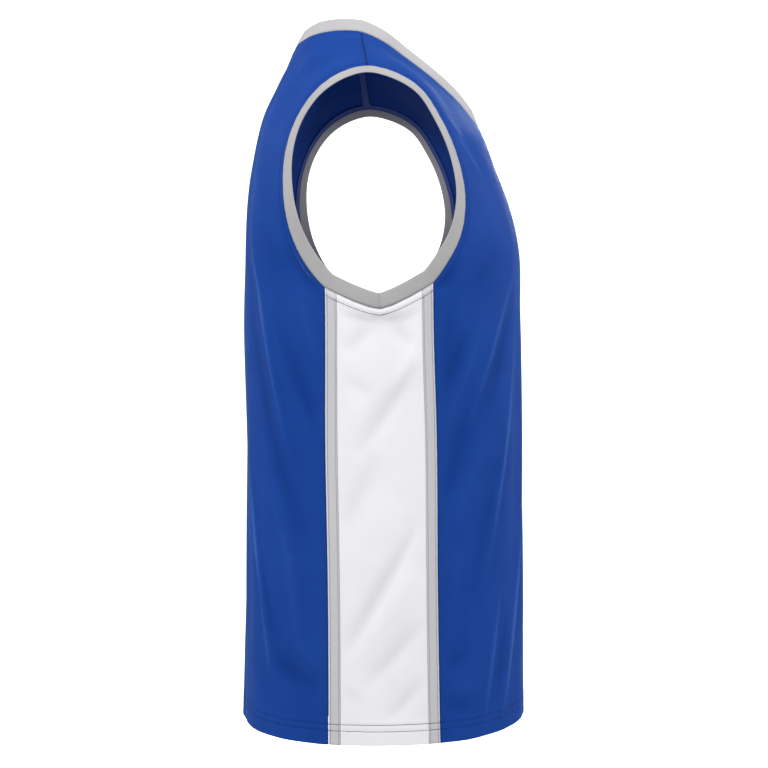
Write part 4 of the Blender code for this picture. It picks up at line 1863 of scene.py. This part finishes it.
@dataclass
class Stitching:
    """Every row of stitches that shows on the outside."""

    outside: Outside
    top_inset: float = 6.6 * MM  # of the armhole's row, from the band's seam
    top_rounding: float = 7.0 * MM
    tape_insets: tuple[float, float] = (1.0 * MM, 1.9 * MM)  # from a tape's outer and inner edge
    row: StitchRow = StitchRow()
    fine_row: StitchRow = StitchRow(stitch=2.6 * MM, gap=0.15 * MM, thread=0.42 * MM)

    def _place(self, piece: Piece, name: str, finish: bpy.types.Material) -> None:
        """Make the threads' object."""
        piece.object(name, finish)

    def hem(self, front: Sheet, back: Sheet, side: Sheet, finish: bpy.types.Material) -> None:
        """Two rows all round above the hem.

        Args:
            front: the front's left half.
            back: the back's left half.
            side: the left side panel.
            finish: the thread's material.
        """
        piece = Piece()
        for above in (HEM_TURN.lower_row, HEM_TURN.upper_row):
            lines = []
            for sheet in (front, side, back):
                heights = sheet.points[:, 0, 2] - HEM
                index = int(np.searchsorted(heights, above))
                share = (above - heights[index - 1]) / (heights[index] - heights[index - 1])
                lines.append(sheet.points[index - 1] * (1.0 - share) + sheet.points[index] * share)
            half = np.vstack((lines[0], lines[1], lines[2][::-1]))
            self.row.add_to(piece, np.vstack((half, (half * MIRROR)[::-1][1:])), self.outside)
        self._place(piece, "hem_stitches", finish)

    def armhole(self, loop: Loop, side: float, name: str, finish: bpy.types.Material) -> None:
        """A row round an armhole, outside the band's seam.

        Args:
            loop: the left armhole.
            side: 1 for the wearer's left and -1 for their right.
            name: what the side is called.
            finish: the thread's material.
        """
        piece = Piece()
        inset = loop.inset(self.top_inset, self.top_rounding) * (side, 1.0, 1.0)
        self.row.add_to(piece, inset, self.outside)
        self._place(piece, "armhole_stitches_" + name, finish)

    def tapes(self, panel: SidePanel, finish: bpy.types.Material) -> None:
        """A row along each edge of both tapes.

        Args:
            panel: the side panel with its tapes.
            finish: the thread's material.
        """
        piece = Piece()
        for name, strip in panel.tapes().items():
            turned = strip.on(panel.side).points
            edges = (turned[:, 0], turned[:, -1])
            outer, inner = edges if name == "front" else edges[::-1]
            width = np.linalg.norm(inner - outer, axis=1, keepdims=True)
            for share in (self.tape_insets[0] / width, 1.0 - self.tape_insets[1] / width):
                self.fine_row.add_to(piece, (outer + (inner - outer) * share)[1:-1], self.outside)
        self._place(piece, "tape_stitches_" + panel.name, finish)


# -------------------------------------------------------------------------- studio


class Softbox(NamedTuple):
    """A square light."""

    name: str
    place: tuple[float, float, float]
    size: float
    watts: float


@dataclass
class Studio:
    """A pale floor, a white surround, soft lights and the camera."""

    floor_height: float = -1.05
    floor_radius: float = 9.0
    floor_glow: float = 0.75
    surround_reach: float = 1.2  # in the floor's radius
    surround_glow: float = 1.0
    ambient: float = 0.58
    softboxes: tuple[Softbox, ...] = (
        Softbox("near_side", (-2.1, 1.0, 1.7), 0.7, 38.0),
        Softbox("near_front", (-1.2, -2.1, 1.5), 0.7, 32.0),
        Softbox("near_back", (-1.2, 2.1, 1.1), 0.7, 13.0),
        Softbox("far_front", (1.0, -2.4, 0.7), 0.7, 19.0),
        Softbox("far_back", (1.2, 2.3, 0.7), 0.7, 14.0),
        Softbox("far_side", (2.4, -0.6, 0.3), 0.7, 22.0),
    )
    aim: tuple[float, float, float] = (0.0, 0.0, -0.35)  # of every softbox
    camera_place: tuple[float, float, float] = (-2.05, -0.025, -0.334)
    focal_pixels: float = 1801.0
    image_pixels: float = 768.0
    horizon_row: float = 340.0
    sensor_width: float = 36.0

    def plain(self, name: str, brightness: float) -> bpy.types.Material:
        """A white material that glows.

        Args:
            name: its name.
            brightness: how strongly.

        Returns:
            The material.
        """
        graph = Graph(name)
        graph.surface(
            (0.9, 0.9, 0.9, 1.0),
            0.8,
            None,
            0.0,
            Emission_Color=(1.0, 1.0, 1.0, 1.0),
            Emission_Strength=brightness,
        )
        return graph.material

    def set_stage(self) -> None:
        """The floor and the surround behind it."""
        bpy.ops.mesh.primitive_circle_add(
            vertices=96, radius=self.floor_radius, fill_type="NGON", location=(0.0, 0.0, self.floor_height)
        )
        floor = bpy.context.object
        floor.name = "floor"
        floor.data.materials.append(self.plain("floor_white", self.floor_glow))
        reach = self.floor_radius * self.surround_reach
        bpy.ops.mesh.primitive_uv_sphere_add(segments=64, ring_count=32, radius=reach)
        surround = bpy.context.object
        surround.name = "surround"
        surround.data.materials.append(self.plain("surround_white", self.surround_glow))
        for staged in (floor, surround):
            for flag in ("visible_diffuse", "visible_glossy", "visible_transmission", "visible_shadow"):
                setattr(staged, flag, False)

    def light(self, softbox: Softbox) -> None:
        """Set up one light, which faces the jersey.

        Args:
            softbox: its place, size and strength.
        """
        lamp = bpy.data.lights.new(softbox.name, "AREA")
        lamp.shape, lamp.size, lamp.energy = "SQUARE", softbox.size, softbox.watts
        made = bpy.data.objects.new(softbox.name, lamp)
        made.location = softbox.place
        made.rotation_euler = (Vector(self.aim) - made.location).to_track_quat("-Z", "Y").to_euler()
        bpy.context.scene.collection.objects.link(made)

    def set_lights(self) -> None:
        """The world's even light, and softboxes on every side."""
        world = bpy.data.worlds.new("studio")
        world.use_nodes = True
        background = world.node_tree.nodes["Background"]
        background.inputs["Color"].default_value = (1.0, 1.0, 1.0, 1.0)
        background.inputs["Strength"].default_value = self.ambient
        bpy.context.scene.world = world
        for softbox in self.softboxes:
            self.light(softbox)

    def set_camera(self) -> None:
        """The camera at the photograph's place, tilted slightly down."""
        lens = bpy.data.cameras.new("camera")
        lens.sensor_width = self.sensor_width
        lens.lens = self.focal_pixels * lens.sensor_width / self.image_pixels
        made = bpy.data.objects.new("camera", lens)
        made.location = self.camera_place
        tilt = math.atan((0.5 * self.image_pixels - self.horizon_row) / self.focal_pixels)
        made.rotation_euler = (0.5 * math.pi - tilt, 0.0, -0.5 * math.pi)
        bpy.context.scene.collection.objects.link(made)
        bpy.context.scene.camera = made
        bpy.context.scene.view_settings.view_transform = "Standard"


def main() -> None:
    """Build every piece of the jersey, dress it and set the studio."""
    logging.basicConfig(level=logging.INFO, format="%(name)s %(message)s")
    studio = Studio()
    studio.set_camera()
    studio.set_lights()
    studio.set_stage()

    finishes = Wardrobe()
    blue, white, tape = (finish.material() for finish in (finishes.blue, finishes.white, finishes.tape))
    front = BodyPanel("front_panel", FRONT_CUT, FRONT_CREASES, Drift(3), (0.46, 0.83), 0.321)
    back = BodyPanel("back_panel", BACK_CUT, BACK_CREASES, Drift(8), (0.47, 0.84), 0.341)
    sides = [SidePanel(1.0, "left"), SidePanel(-1.0, "right")]
    for panel in (front, back):
        panel.build(blue)
    for panel in sides:
        panel.build(white, tape)

    plain_front, plain_back, plain_side = half_panel(FRONT_CUT), half_panel(BACK_CUT), side_sheet()
    allowance, blue_edge = SeamAllowance(), finishes.blue_edge.material()
    shoulder, underarm = (allowance.strip(plain, Edge.TOP) for plain in (plain_back, plain_side))
    back_strips = [*allowance.of_panel(plain_back), shoulder]
    allowance.build("front_seam_allowance", allowance.of_panel(plain_front), Slot.BLUE, blue_edge)
    allowance.build("back_seam_allowance", back_strips, Slot.BLUE, blue_edge)
    allowance.build("underarm_seam_allowance", [underarm], Slot.WHITE, finishes.white_edge.material())

    NeckBand().build(neck_loop(plain_front, plain_back), finishes.neck.material())
    armhole, band = armhole_loop(plain_front, plain_back, plain_side), finishes.band.material()
    for panel in sides:
        ArmholeBand(panel.side, panel.name).build(armhole, band)

    sheets = [panel.half(side) for panel in (front, back) for side in SIDES]
    for panel in sides:
        sheets.append(panel.sheet.on(panel.side))
        sheets.extend(strip.on(panel.side) for strip in panel.tapes().values())
    stitching = Stitching(Outside(sheets))
    navy, grey = finishes.navy.material(), finishes.grey.material()
    stitching.hem(plain_front, plain_back, plain_side, navy)
    for panel in sides:
        stitching.armhole(armhole, panel.side, panel.name, navy)
        stitching.tapes(panel, grey)


if __name__ == "__main__":
    main()
